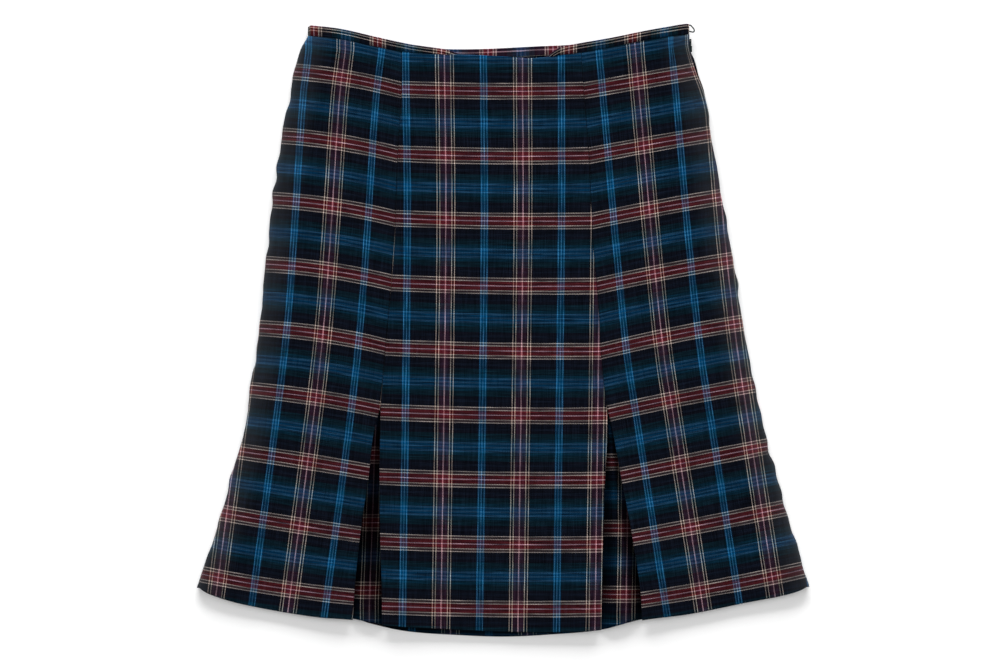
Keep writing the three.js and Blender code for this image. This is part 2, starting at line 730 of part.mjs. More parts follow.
// Pull tab: a pin under the bridge, two arms beside it and a moulded grip.
function zipPull() {
  const { pinX, pinY, pin, width, end, window, gripFrom, gripCorner } = PULL;
  const low = SLIDER_MIDDLE - width / 2;
  const high = SLIDER_MIDDLE + width / 2;
  const windowHalf = BRIDGE.wide / 2 + PULL.windowPlay;
  const armEnd = gripFrom - PULL.gripLap;
  const arms = uprightPlate(
    [[armEnd, low], [pinY + pin / 2, low], [pinY + pin / 2, high], [armEnd, high]],
    pinX - pin / 2,
    pinX + pin / 2,
    [
      [window, SLIDER_MIDDLE - windowHalf], [window, SLIDER_MIDDLE + windowHalf],
      [pinY - pin / 2, SLIDER_MIDDLE + windowHalf], [pinY - pin / 2, SLIDER_MIDDLE - windowHalf],
    ],
  );
  const grip = uprightPlate([
    [end, low + gripCorner], [end + gripCorner, low],
    [gripFrom - gripCorner, low], [gripFrom, low + gripCorner],
    [gripFrom, high - gripCorner], [gripFrom - gripCorner, high],
    [end + gripCorner, high], [end, high - gripCorner],
  ], pinX + PULL.gripLow, pinX + PULL.gripHigh);
  return joined([arms, grip]);
}

// ---------------------------------------------------------------- hook and eye

// Points of a sewing ring that starts or ends a wire, open where it would meet the wire again.
function sewingRing(centreX, legY, side, z) {
  return SEWING_RING_SHARES.map((share) => {
    const angle = share * 2 * Math.PI;
    const aside = SEWING_RING * (1 - Math.cos(angle));
    return new THREE.Vector3(centreX - SEWING_RING * Math.sin(angle), legY - side * aside, z);
  });
}

const EYE_HEIGHT = RETURN_HEIGHT + CLOSURE_LIFT - CLOTH_WALL / 2 - SEAM_GAP - WIRE / 2;
const HOOK_HEIGHT = UNDERLAY_HEIGHT + CLOTH_WALL / 2 + SEAM_GAP + WIRE / 2;

// Wire eye sewn under the front end of the band, its loop standing out past the end.
function waistEye() {
  return wireAlong([
    ...sewingRing(EYE.ringX, EYE.upper, 1, EYE_HEIGHT).reverse(),
    ...EYE_LOOP.map(({ x, y }) => new THREE.Vector3(x, y, EYE_HEIGHT)),
    ...sewingRing(EYE.ringX, EYE.lower, -1, EYE_HEIGHT),
  ], EYE_STEPS);
}

// Wire hook sewn on the inside of the back end of the band, its bill turned back over its legs.
function waistHook() {
  const { ringX, noseX, noseBend, billX, billBend, middle, half } = HOOK;
  const billHeight = HOOK_HEIGHT + WIRE + SEAM_GAP;
  const noseHeight = (HOOK_HEIGHT + billHeight) / 2;
  const leg = (side) => {
    const legY = middle + side * half;
    return [
      ...sewingRing(ringX, legY, -side, HOOK_HEIGHT).reverse(),
      new THREE.Vector3(ringX + LEG_BEYOND_RING, legY, HOOK_HEIGHT),
      new THREE.Vector3(noseX - noseBend, legY, HOOK_HEIGHT),
      new THREE.Vector3(noseX, legY, noseHeight),
      new THREE.Vector3(noseX - noseBend, legY, billHeight),
      new THREE.Vector3(billX + billBend, legY, billHeight),
    ];
  };
  const bill = new THREE.Vector3(billX, middle, billHeight);
  return wireAlong([...leg(1), bill, ...leg(-1).reverse()], HOOK_STEPS);
}

// ---------------------------------------------------------------- the skirt

const skirt = new THREE.Group();

function place(name, geometry, { color, roughness, metalness = 0 }) {
  const mesh = new THREE.Mesh(geometry, new THREE.MeshStandardMaterial({ color, roughness, metalness }));
  mesh.name = name;
  skirt.add(mesh);
}

const cloth = { color: 0x1c2a3a, roughness: 0.9 };
const tape = { color: 0x101216, roughness: 0.85 };
const enamel = { color: 0x0c0c0e, roughness: 0.35, metalness: 0.6 };

place('centre_front', centreFront(), cloth);
place('right_side_front', rightSideFront(), cloth);
place('left_side_front', leftSideFront(), cloth);
place('right_pleat_underlay', pleatUnderlay(rightSeam.side, rightSeam.centre), cloth);
place('left_pleat_underlay', pleatUnderlay(leftSeam.centre, leftSeam.side), cloth);
place('back', backOfSkirt(), cloth);
place('waistband', waistband(), cloth);
place('zip_tape_front', zipTapeFront(), tape);
place('zip_tape_back', zipTapeBack(), tape);
place('zip_chain', zipChain(), tape);
place('zip_slider', zipSlider(), enamel);
place('zip_pull', zipPull(), enamel);
place('waist_eye', waistEye(), enamel);
place('waist_hook', waistHook(), enamel);

export default skirt;
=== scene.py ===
"""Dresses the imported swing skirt: its cloth, side zip, hook and eye, and a plain studio.

The skirt lies flat with its front up. x runs to the wearer's left, y to the waist and z up.
Tables and sizes are in millimetres, as in the CAD part, and the meshes are in metres.
"""

from __future__ import annotations

import logging
import math
from collections.abc import Callable, Sequence
from dataclasses import dataclass, field
from enum import Enum
from typing import Any, NamedTuple

import bmesh
import bpy
import numpy as np
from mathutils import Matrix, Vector

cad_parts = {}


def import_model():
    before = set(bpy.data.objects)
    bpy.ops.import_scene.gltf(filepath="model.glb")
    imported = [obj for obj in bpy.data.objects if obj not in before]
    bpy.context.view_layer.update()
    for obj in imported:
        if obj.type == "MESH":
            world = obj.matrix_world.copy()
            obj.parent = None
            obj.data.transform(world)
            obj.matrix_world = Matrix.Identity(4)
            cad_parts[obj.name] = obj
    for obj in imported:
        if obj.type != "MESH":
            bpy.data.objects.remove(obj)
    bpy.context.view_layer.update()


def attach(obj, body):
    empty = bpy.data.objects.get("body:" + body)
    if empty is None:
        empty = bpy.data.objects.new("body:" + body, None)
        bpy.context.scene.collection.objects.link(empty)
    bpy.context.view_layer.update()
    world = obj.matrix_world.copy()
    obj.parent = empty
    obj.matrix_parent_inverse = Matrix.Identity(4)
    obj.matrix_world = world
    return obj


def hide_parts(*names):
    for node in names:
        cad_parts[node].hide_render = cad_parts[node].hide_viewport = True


LOG = logging.getLogger("skirt")
MM = 0.001

Values = np.ndarray
Line = Callable[[Any], Values]
Colour = tuple[int, int, int]

# ---------------------------------------------------------------- cloth sizes

CLOTH_WALL = 0.6
LAYER_STEP = 1.5
SEAM_GAP = 0.1
BACK_HEIGHT = 0.3
UNDERLAY_HEIGHT = 1.45
FACE_HEIGHT = 5.4
FOLD_RADIUS = 0.75
FOLD_REACH = FOLD_RADIUS + CLOTH_WALL / 2
FOLD_STEPS = 8
TURN_NOSE = 0.25
TURN_REACH = TURN_NOSE + CLOTH_WALL / 2
TURN_ARC = math.pi * (TURN_NOSE + FOLD_RADIUS) / 2
ROLL_RADIUS = (FACE_HEIGHT - BACK_HEIGHT) / 2
ROLL_ANGLE = math.radians(88)
ROLL_LENGTH = ROLL_RADIUS * ROLL_ANGLE
ROLL_STEPS = 8
SEAM_ALLOWANCE = 11.0
PLEAT_RETURN = 36.0
PLEAT_TOP = -75.0
RETURN_WIDENS_FROM = -55.0
RETURN_FULL_AT = -190.0
RETURN_HEM_SHORT = 1.5
RETURN_WAIST_SHORT = 5.0
UNDERLAY_ABOVE_PLEAT = 16.0
UNDERLAY_INSET = 3.0
HEM_DEPTH = 25.0
HEM_EXTRA = 0.35
BAND_DEPTH = 9.4
ZIP_BOTTOM = 117.0
SIDE_SEAM_CLOSES_OVER = 26.0
CLOSURE_LIFT = 2.2
CLOSURE_LIFTS_OVER_X = (122.0, 162.0)
CLOSURE_LIFTS_OVER_Y = (262.0, 296.0)
RIM_BULGE = 0.4
BEVEL_SEGMENTS = 3
WARP_REPEAT = 77.1
WEFT_REPEAT = 65.0
# Attribute of the light share painted into the cloth's colour: painted shade in the pleat underlays and on
# the back's wrong side.
PAINTED_LIGHT_SHARE = "fold_light"
# Attribute of painted sheen: how far the side fronts' colour is paled towards grey near their side edges.
PAINTED_EDGE_SHEEN = "edge_wear"


# ---------------------------------------------------------------- tables


class WaistRow(NamedTuple):
    """A place along a waist seam: the seam's height and the band's depth above it."""

    x: float
    seam: float
    band: float


class EdgeRow(NamedTuple):
    """A place down an upright edge."""

    y: float
    x: float


class ZipSideRow(NamedTuple):
    """A place down the wearer's left side: the front's edge and the back's edge."""

    y: float
    front: float
    back: float


class PleatRow(NamedTuple):
    """A place down a pleat: the centre front's folded edge and the side front's."""

    y: float
    centre: float
    side: float


class HemRow(NamedTuple):
    """A place along a hem."""

    x: float
    y: float


class BandRow(NamedTuple):
    """Heights of one red band of the check at a panel's left edge, middle and right edge."""

    number: float
    left: float
    middle: float
    right: float


class StripeLean(NamedTuple):
    """Where a panel's pale cluster runs at a height, and how far the next blue stripe is from it."""

    y: float
    cluster: float
    to_blue: float


FRONT_WAIST = (
    WaistRow(-198, 294.8, 10.7), WaistRow(-163, 291.2, 10.3), WaistRow(-127, 283.5, 9.8),
    WaistRow(-93, 277.8, 8.2), WaistRow(-63, 275.8, 5.9), WaistRow(-46, 275.4, 3.0),
    WaistRow(-22, 274.7, 1.8), WaistRow(6, 273.2, 1.8), WaistRow(27, 271.8, 1.8),
    WaistRow(43, 273.0, 2.4), WaistRow(57, 275.3, 7.6), WaistRow(72, 277.0, 9.3),
    WaistRow(107, 283.1, 9.3), WaistRow(137, 289.2, 9.3), WaistRow(165, 293.6, 9.8),
    WaistRow(182, 295.4, 10.8), WaistRow(188, 295.7, 10.0),
)
BACK_WAIST = (
    WaistRow(-198, 294.8, 10.7), WaistRow(-163, 290.8, 9.8), WaistRow(-127, 283.2, 9.6),
    WaistRow(-93, 276.0, 9.8), WaistRow(-63, 271.8, 10.0), WaistRow(-22, 271.4, 10.2),
    WaistRow(36, 274.6, 9.8), WaistRow(72, 277.0, 9.2), WaistRow(107, 282.6, 9.2),
    WaistRow(137, 288.6, 9.2), WaistRow(165, 292.8, 9.4), WaistRow(188, 295.0, 9.4),
)
RIGHT_SIDE_EDGE = (
    EdgeRow(300, -194.6), EdgeRow(270, -205.9), EdgeRow(230, -214.4), EdgeRow(190, -222.0),
    EdgeRow(130, -231.0), EdgeRow(70, -237.0), EdgeRow(10, -244.4), EdgeRow(-50, -251.6),
    EdgeRow(-90, -258.4), EdgeRow(-130, -268.4), EdgeRow(-170, -278.4), EdgeRow(-210, -291.1),
    EdgeRow(-256, -306.2),
)
LEFT_SIDE_EDGE = (
    ZipSideRow(300, 185.2, 184.9), ZipSideRow(285, 186.0, 186.0), ZipSideRow(270, 189.2, 191.6),
    ZipSideRow(250, 195.2, 197.0), ZipSideRow(230, 201.8, 202.0), ZipSideRow(190, 209.0, 209.0),
    ZipSideRow(130, 219.5, 219.5), ZipSideRow(70, 230.4, 230.4), ZipSideRow(10, 239.9, 239.9),
    ZipSideRow(-50, 250.1, 250.1), ZipSideRow(-90, 258.8, 258.8), ZipSideRow(-130, 269.1, 269.1),
    ZipSideRow(-170, 280.3, 280.3), ZipSideRow(-210, 292.1, 292.1), ZipSideRow(-256, 306.4, 306.4),
)
RIGHT_FRONT_SEAM = (
    EdgeRow(290, -101.2), EdgeRow(241, -102.0), EdgeRow(178, -105.7), EdgeRow(117, -107.5),
    EdgeRow(83, -108.9), EdgeRow(30, -113.4), EdgeRow(-17, -117.9), EdgeRow(-68, -122.2),
    EdgeRow(PLEAT_TOP, -122.8),
)
RIGHT_PLEAT = (
    PleatRow(-106, -123.4, -130.2), PleatRow(-146, -123.9, -134.6), PleatRow(-196, -123.6, -141.9),
    PleatRow(-257, -121.8, -148.4), PleatRow(-300, -121.3, -150.8),
)
LEFT_FRONT_SEAM = (
    EdgeRow(290, 77.0), EdgeRow(241, 80.3), EdgeRow(175, 85.4), EdgeRow(110, 88.5),
    EdgeRow(74, 90.6), EdgeRow(36, 94.3), EdgeRow(-21, 97.7), EdgeRow(-60, 101.0),
    EdgeRow(PLEAT_TOP, 103.2),
)
LEFT_PLEAT = (
    PleatRow(-100, 104.2, 109.0), PleatRow(-143, 102.0, 116.8), PleatRow(-198, 100.0, 127.2),
    PleatRow(-263, 98.4, 137.0), PleatRow(-305, 98.0, 138.6),
)
FRONT_HEM = (
    HemRow(-306, -255.5), HemRow(-298, -261.5), HemRow(-285, -266.8), HemRow(-265, -272.6),
    HemRow(-225, -280.6), HemRow(-185, -286.6), HemRow(-150, -289.3), HemRow(-121, -294.4),
    HemRow(-63, -298.2), HemRow(-3, -300.8), HemRow(47, -301.6), HemRow(98, -299.2),
    HemRow(138, -289.7), HemRow(185, -283.6), HemRow(245, -271.6), HemRow(275, -265.9),
    HemRow(295, -260.5), HemRow(306, -254.7),
)
BACK_HEM = (
    HemRow(-306, -254.7), HemRow(-285, -265.3), HemRow(-225, -279.1), HemRow(-150, -287.9),
    HemRow(-133, -293.2), HemRow(-97, -300.9), HemRow(-44, -304.8), HemRow(3, -306.25),
    HemRow(45, -304.3), HemRow(97, -299.6), HemRow(138, -289.1), HemRow(185, -282.4),
    HemRow(245, -270.4), HemRow(306, -253.9),
)

# ---------------------------------------------------------------- small helpers


def mix(start: Any, end: Any, part: Any) -> Any:
    """A value part of the way from start to end."""
    return start + (end - start) * part


def ease(start: float, end: float, at: Any) -> Values:
    """Eased step from 0 at start to 1 at end."""
    part = np.clip((np.asarray(at, float) - start) / (end - start), 0.0, 1.0)
    return part * part * (3.0 - 2.0 * part)


class TableCurve:
    """Smooth curve through table rows, the same curve that the CAD part uses."""

    def __init__(self, rows: Sequence[NamedTuple], along: str, across: str) -> None:
        """Reads the rows.

        Args:
            rows: table rows, in any order.
            along: name of the column that the curve is read by.
            across: name of the column that it gives.
        """
        ordered = sorted(rows, key=lambda row: getattr(row, along))
        self.places = np.array([getattr(row, along) for row in ordered], float)
        self.values = np.array([getattr(row, across) for row in ordered], float)
        knots = np.arange(len(ordered))
        before = np.maximum(knots - 1, 0)
        after = np.minimum(knots + 1, knots[-1])
        self.slopes = (self.values[after] - self.values[before]) / (self.places[after] - self.places[before])

    def __call__(self, at: Any) -> Values:
        """Values of the curve at these places."""
        at = np.asarray(at, float)
        left = np.clip(np.searchsorted(self.places, at, side="right") - 1, 0, len(self.places) - 2)
        span = self.places[left + 1] - self.places[left]
        part = np.clip((at - self.places[left]) / span, 0.0, 1.0)
        square = part * part
        cube = square * part
        return (
            self.values[left] * (2 * cube - 3 * square + 1)
            + self.values[left + 1] * (3 * square - 2 * cube)
            + self.slopes[left] * span * (cube - 2 * square + part)
            + self.slopes[left + 1] * span * (cube - square)
        )


class Unevenness:
    """Seeded smooth unevenness over the cloth, from a lattice of random heights."""

    REACH = 420.0

    def __init__(self, spacing: tuple[float, float], seed: int) -> None:
        """Draws the lattice.

        Args:
            spacing: distance between lattice points along x and along y.
            seed: seed of the random heights.
        """
        self.spacing = spacing
        counts = [int(2 * self.REACH / step) + 3 for step in spacing]
        self.heights = np.random.default_rng(seed).uniform(-1.0, 1.0, counts)

    def __call__(self, x: Values, y: Values) -> Values:
        """Heights between -1 and 1 at these places."""
        across = (x + self.REACH) / self.spacing[0]
        along = (y + self.REACH) / self.spacing[1]
        column = np.clip(across.astype(int), 0, self.heights.shape[0] - 2)
        row = np.clip(along.astype(int), 0, self.heights.shape[1] - 2)
        part_x = ease(0, 1, across - column)
        part_y = ease(0, 1, along - row)
        low = mix(self.heights[column, row], self.heights[column + 1, row], part_x)
        high = mix(self.heights[column, row + 1], self.heights[column + 1, row + 1], part_x)
        return mix(low, high, part_y)


class EdgeWaves:
    """Small uneven waves of a rolled side edge."""

    DEPTH = 1.7
    LENGTH = 13.0

    def __init__(self, seed: int) -> None:
        """Draws the waves.

        Args:
            seed: seed of their depths.
        """
        self.unevenness = Unevenness((self.LENGTH, self.LENGTH), seed)

    def __call__(self, y: Any) -> Values:
        """How far the edge stands out at these heights."""
        y = np.asarray(y, float)
        return self.DEPTH * self.unevenness(np.zeros_like(y), y)


@dataclass(frozen=True)
class Crease:
    """A soft ridge between two places, or a trough where its height is below zero.

    Attributes:
        start: where it starts, x and y.
        end: where it ends.
        height: height of its middle.
        half_width: distance from its middle line at which it has mostly faded.
        bow: how far its middle line bends aside.
    """

    start: tuple[float, float]
    end: tuple[float, float]
    height: float
    half_width: float
    bow: float = 0.0

    def relief(self, x: Values, y: Values) -> Values:
        """Its height at these places."""
        run_x = self.end[0] - self.start[0]
        run_y = self.end[1] - self.start[1]
        length = math.hypot(run_x, run_y)
        part = np.clip(((x - self.start[0]) * run_x + (y - self.start[1]) * run_y) / length**2, 0.0, 1.0)
        away = ((x - self.start[0]) * run_y - (y - self.start[1]) * run_x) / length
        away = away - self.bow * 4.0 * part * (1.0 - part)
        fade = ease(0.0, 0.35, part) * (1.0 - ease(0.65, 1.0, part))
        return self.height * fade * np.exp(-((away / self.half_width) ** 2))


# ---------------------------------------------------------------- outline


class Outline:
    """The skirt's edges seen from above, read from the tables."""

    def __init__(self) -> None:
        """Makes the curves of the edges, seams and hems."""
        self.front_seam = TableCurve(FRONT_WAIST, "x", "seam")
        self.front_band = TableCurve(FRONT_WAIST, "x", "band")
        self.back_seam = TableCurve(BACK_WAIST, "x", "seam")
        self.back_band = TableCurve(BACK_WAIST, "x", "band")
        self.front_hem = TableCurve(FRONT_HEM, "x", "y")
        self.back_hem = TableCurve(BACK_HEM, "x", "y")
        self.right_edge = TableCurve(RIGHT_SIDE_EDGE, "y", "x")
        self.left_edge = TableCurve(LEFT_SIDE_EDGE, "y", "front")
        self.left_back_edge = TableCurve(LEFT_SIDE_EDGE, "y", "back")
        self.right_waves = EdgeWaves(seed=61)
        self.left_waves = EdgeWaves(seed=67)
        self.right_seam_centre = self._seam(RIGHT_FRONT_SEAM, RIGHT_PLEAT, "centre", SEAM_GAP / 2)
        self.right_seam_side = self._seam(RIGHT_FRONT_SEAM, RIGHT_PLEAT, "side", -SEAM_GAP / 2)
        self.left_seam_centre = self._seam(LEFT_FRONT_SEAM, LEFT_PLEAT, "centre", -SEAM_GAP / 2)
        self.left_seam_side = self._seam(LEFT_FRONT_SEAM, LEFT_PLEAT, "side", SEAM_GAP / 2)

    @staticmethod
    def _seam(seam: Sequence[EdgeRow], pleat: Sequence[PleatRow], panel: str, shift: float) -> Line:
        """One panel's edge along a front seam and then down its side of the pleat."""
        below = [EdgeRow(row.y, getattr(row, panel)) for row in pleat]
        line = TableCurve([*seam, *below], "y", "x")
        return lambda y: line(y) + shift

    def right_side(self, y: Any) -> Values:
        """The wearer's right side edge with its waves."""
        return self.right_edge(y) - self.right_waves(y)

    def left_side(self, y: Any) -> Values:
        """The front's edge on the wearer's left side with its waves."""
        return self.left_edge(y) + self.left_waves(y)

    def left_back_side(self, y: Any) -> Values:
        """The back's edge on the wearer's left side with its waves."""
        return self.left_back_edge(y) + self.left_waves(y)

    @staticmethod
    def seam_closed(y: Any) -> Values:
        """How far the left side seam is closed: 0 along the zip, 1 below it."""
        return 1.0 - ease(ZIP_BOTTOM - SIDE_SEAM_CLOSES_OVER, ZIP_BOTTOM, y)

    @staticmethod
    def return_width(y: Any) -> Values:
        """Width of cloth turned under beside a front seam at a height."""
        return mix(PLEAT_RETURN, SEAM_ALLOWANCE, ease(RETURN_FULL_AT, RETURN_WIDENS_FROM, y))

    @staticmethod
    def closure_lift(x: Any, y: Any) -> Values:
        """Lift of the front near the waist closure."""
        return CLOSURE_LIFT * ease(*CLOSURE_LIFTS_OVER_X, x) * ease(*CLOSURE_LIFTS_OVER_Y, y)


class Edge(Enum):
    """An upright edge of a panel seen from above; its value points into the panel."""

    LEFT = 1
    RIGHT = -1


@dataclass
class PanelShape:
    """A panel between two upright edges, a waist line and a hem line."""

    left: Line
    right: Line
    top: Line
    hem: Line
    corners: dict[str, tuple[float, float]] = field(init=False)

    CORNER_PASSES = 12

    def __post_init__(self) -> None:
        """Finds the four corners."""
        self.corners = {
            "top_left": self._corner(self.left, self.top),
            "top_right": self._corner(self.right, self.top),
            "hem_left": self._corner(self.left, self.hem),
            "hem_right": self._corner(self.right, self.hem),
        }

    def _corner(self, edge: Line, line: Line) -> tuple[float, float]:
        """Where an upright edge crosses a level line, closing in pass by pass."""
        y = line(edge(0.0))
        for _ in range(self.CORNER_PASSES):
            y = line(edge(y))
        return float(edge(y)), float(y)

    def point(self, across: Any, down: Any) -> tuple[Values, Values]:
        """A place on the panel.

        Args:
            across: share of the way from the left edge to the right edge.
            down: share of the way from the waist to the hem.

        Returns:
            x and y.
        """
        top_left_x, top_left_y = self.corners["top_left"]
        top_right_x, top_right_y = self.corners["top_right"]
        hem_left_x, hem_left_y = self.corners["hem_left"]
        hem_right_x, hem_right_y = self.corners["hem_right"]
        left_y = mix(top_left_y, hem_left_y, down)
        right_y = mix(top_right_y, hem_right_y, down)
        top_bow = self.top(mix(top_left_x, top_right_x, across)) - mix(top_left_y, top_right_y, across)
        hem_bow = self.hem(mix(hem_left_x, hem_right_x, across)) - mix(hem_left_y, hem_right_y, across)
        x = mix(self.left(left_y), self.right(right_y), across)
        y = mix(left_y, right_y, across) + (1.0 - down) * top_bow + down * hem_bow
        return x, y

    def width(self, down: Values) -> Values:
        """Width of the panel from edge to edge."""
        return self.point(1.0, down)[0] - self.point(0.0, down)[0]

    def in_from(self, edge: Edge, distance: Any, down: Values) -> tuple[Values, Values]:
        """A place at a distance in from one edge."""
        share = distance / self.width(down)
        return self.point(share if edge is Edge.LEFT else 1.0 - share, down)

    def share_across(self, x: Values, y: Values) -> Values:
        """Share of the way across the panel at these places."""
        return (x - self.left(y)) / (self.right(y) - self.left(y))


# ---------------------------------------------------------------- the check's place on the cloth


@dataclass(frozen=True)
class Grain:
    """Where the check runs on a panel.

    Attributes:
        shape: the panel.
        bands: heights of the red bands.
        leans: the lean of the pale cluster and its distance from the next blue stripe.
        crowding: how much more cloth lies near the right edge at the waist, where it rolls over.
    """

    CROWDING_REACH = 20.0
    CROWDING_FROM = 215.0
    CROWDING_FULL_AT = 290.0

    shape: PanelShape
    bands: tuple[BandRow, ...]
    leans: tuple[StripeLean, ...]
    crowding: float = 0.0

    def cloth(self, flat: Values) -> Values:
        """Cloth coordinates across the warp and along it, zero at a cluster and a red band."""
        x, y = flat[..., 0], flat[..., 1]
        return np.stack([self._across_warp(x, y), self._along_warp(x, y)], -1)

    def _across_warp(self, x: Values, y: Values) -> Values:
        """Distance across the warp, a whole repeat from cluster to cluster."""
        cluster = TableCurve(self.leans, "y", "cluster")(y)
        to_blue = TableCurve(self.leans, "y", "to_blue")(y)
        near_waist = ease(self.CROWDING_FROM, self.CROWDING_FULL_AT, y)
        near_edge = ease(-self.CROWDING_REACH, 0.0, x - self.shape.right(y))
        return WARP_REPEAT / 2 * (x - cluster) / to_blue + self.crowding * near_waist * near_edge

    @staticmethod
    def _between(places: Values, marks: Values, at: Values) -> Values:
        """The mark at a place between bands whose places rise from first to last."""
        before = np.clip((places < at[..., None]).sum(-1) - 1, 0, len(marks) - 2)
        low = np.take_along_axis(places, before[..., None], -1)[..., 0]
        high = np.take_along_axis(places, before[..., None] + 1, -1)[..., 0]
        return mix(marks[before], marks[before + 1], (at - low) / (high - low))

    def _along_warp(self, x: Values, y: Values) -> Values:
        """Distance along the warp, a whole repeat at each red band."""
        share = self.shape.share_across(x, y)
        weights = ((2 * share - 1) * (share - 1), 4 * share * (1 - share), share * (2 * share - 1))
        heights = np.stack([
            weights[0] * band.left + weights[1] * band.middle + weights[2] * band.right for band in self.bands
        ], -1)
        numbers = np.array([band.number for band in self.bands])
        return WEFT_REPEAT * self._between(-heights, numbers, -y)


# ---------------------------------------------------------------- walls of cloth


@dataclass
class ClothGrid:
    """Rows of points half way through a wall of cloth.

    Attributes:
        at: the points, rows by columns by 3.
        out: unit directions towards the cloth's right side.
        flat: where the points lay before folding, rows by columns by 2.
        give: share of the relief that each point takes.
    """

    at: Values
    out: Values
    flat: Values
    give: Values

    @staticmethod
    def of(x: Any, y: Any, z: Any, out_x: Any, out_z: Any, flat_x: Any, give: Any = 1.0) -> ClothGrid:
        """A grid from values that spread to one shape."""
        x, y, z, out_x, out_z, flat_x, give = np.broadcast_arrays(x, y, z, out_x, out_z, flat_x, give)
        return ClothGrid(
            np.stack([x, y, z], -1),
            np.stack([out_x, np.zeros_like(out_x), out_z], -1),
            np.stack([flat_x, y], -1),
            np.array(give, float),
        )

    @staticmethod
    def side_by_side(parts: Sequence[ClothGrid]) -> ClothGrid:
        """Parts joined along their rows."""
        return ClothGrid(*(
            np.concatenate([getattr(part, name) for part in parts], 1)
            for name in ("at", "out", "flat", "give")
        ))

    def mirrored(self) -> ClothGrid:
        """The same grid with its columns in the other order."""
        return ClothGrid(self.at[:, ::-1], self.out[:, ::-1], self.flat[:, ::-1], self.give[:, ::-1])

    def raise_by(self, relief: Callable[[Values, Values], Values]) -> None:
        """Adds relief to the points' heights."""
        self.at[..., 2] += self.give * relief(self.at[..., 0], self.at[..., 1])


@dataclass(frozen=True)
class Border:
    """Places round the edge of a grid, in order, each with the place just inside it."""

    row: Values
    column: Values
    inner_row: Values
    inner_column: Values

    @staticmethod
    def of(rows: int, columns: int) -> Border:
        """The border of a grid with this many rows and columns."""
        down, across = np.arange(rows), np.arange(columns)
        row = np.concatenate([
            np.zeros(columns - 1, int), down[:-1], np.full(columns - 1, rows - 1), down[:0:-1],
        ])
        column = np.concatenate([
            across[:-1], np.full(rows - 1, columns - 1), across[:0:-1], np.zeros(rows - 1, int),
        ])
        return Border(row, column, np.clip(row, 1, rows - 2), np.clip(column, 1, columns - 2))


def object_from(name: str, points: Values, faces: Sequence, cloth: Values | None = None) -> bpy.types.Object:
    """Makes a smooth mesh object and links it.

    Args:
        name: name of the object.
        points: its points in millimetres.
        faces: corner numbers of each face.

    Returns:
        The object.
    """
    mesh = bpy.data.meshes.new(name)
    mesh.from_pydata((points * MM).tolist(), [], [list(face) for face in faces])
    if cloth is not None:
        corners = np.zeros(len(mesh.loops), int)
        mesh.loops.foreach_get("vertex_index", corners)
        layer = mesh.uv_layers.new(name="Cloth")
        layer.data.foreach_set("uv", (cloth[corners] * MM).astype(np.float32).ravel())
    mesh.shade_smooth()
    mesh.update()
    made = bpy.data.objects.new(name, mesh)
    bpy.context.scene.collection.objects.link(made)
    return made


def cloth_wall(name: str, grid: ClothGrid, cloth: Values, outer: Any, inner: Any) -> bpy.types.Object:
    """Makes a closed wall of cloth with rounded edges.

    Args:
        name: name of the object.
        grid: points half way through the wall.
        cloth: cloth coordinates of those points.
        outer: distance from the grid to the right side.
        inner: distance from the grid to the wrong side.

    Returns:
        The object.
    """
    rows, columns = grid.at.shape[:2]
    outer = np.broadcast_to(outer, (rows, columns))
    inner = np.broadcast_to(inner, (rows, columns))
    right_side = grid.at + grid.out * outer[..., None]
    wrong_side = grid.at - grid.out * inner[..., None]
    border = Border.of(rows, columns)
    rim = (border.row, border.column)
    outwards = grid.at[rim] - grid.at[border.inner_row, border.inner_column]
    outwards /= np.linalg.norm(outwards, axis=-1, keepdims=True)
    bulge = (outer + inner)[rim][:, None] * RIM_BULGE
    middle = (right_side[rim] + wrong_side[rim]) / 2 + outwards * bulge
    points = np.concatenate([right_side.reshape(-1, 3), wrong_side.reshape(-1, 3), middle])
    coordinates = np.concatenate([cloth.reshape(-1, 2), cloth.reshape(-1, 2), cloth[rim]])

    number = np.arange(rows * columns).reshape(rows, columns)
    first, second = number[:-1, :-1], number[:-1, 1:]
    third, fourth = number[1:, 1:], number[1:, :-1]
    face = np.stack([first, second, third, fourth], -1).reshape(-1, 4)
    edge_outer = number[rim]
    edge_inner = edge_outer + rows * columns
    edge_middle = np.arange(len(edge_outer)) + 2 * rows * columns
    following = [np.roll(ring, -1) for ring in (edge_outer, edge_middle, edge_inner)]
    faces = np.concatenate([
        face,
        face[:, ::-1] + rows * columns,
        np.stack([following[0], edge_outer, edge_middle, following[1]], -1),
        np.stack([following[1], edge_middle, edge_inner, following[2]], -1),
    ])
    facing = np.cross(points[face[:, 1]] - points[face[:, 0]], points[face[:, 3]] - points[face[:, 0]])
    if (facing * grid.out[:-1, :-1].reshape(-1, 3)).sum() < 0:
        faces = faces[:, ::-1]
    return object_from(name, points, faces, coordinates)


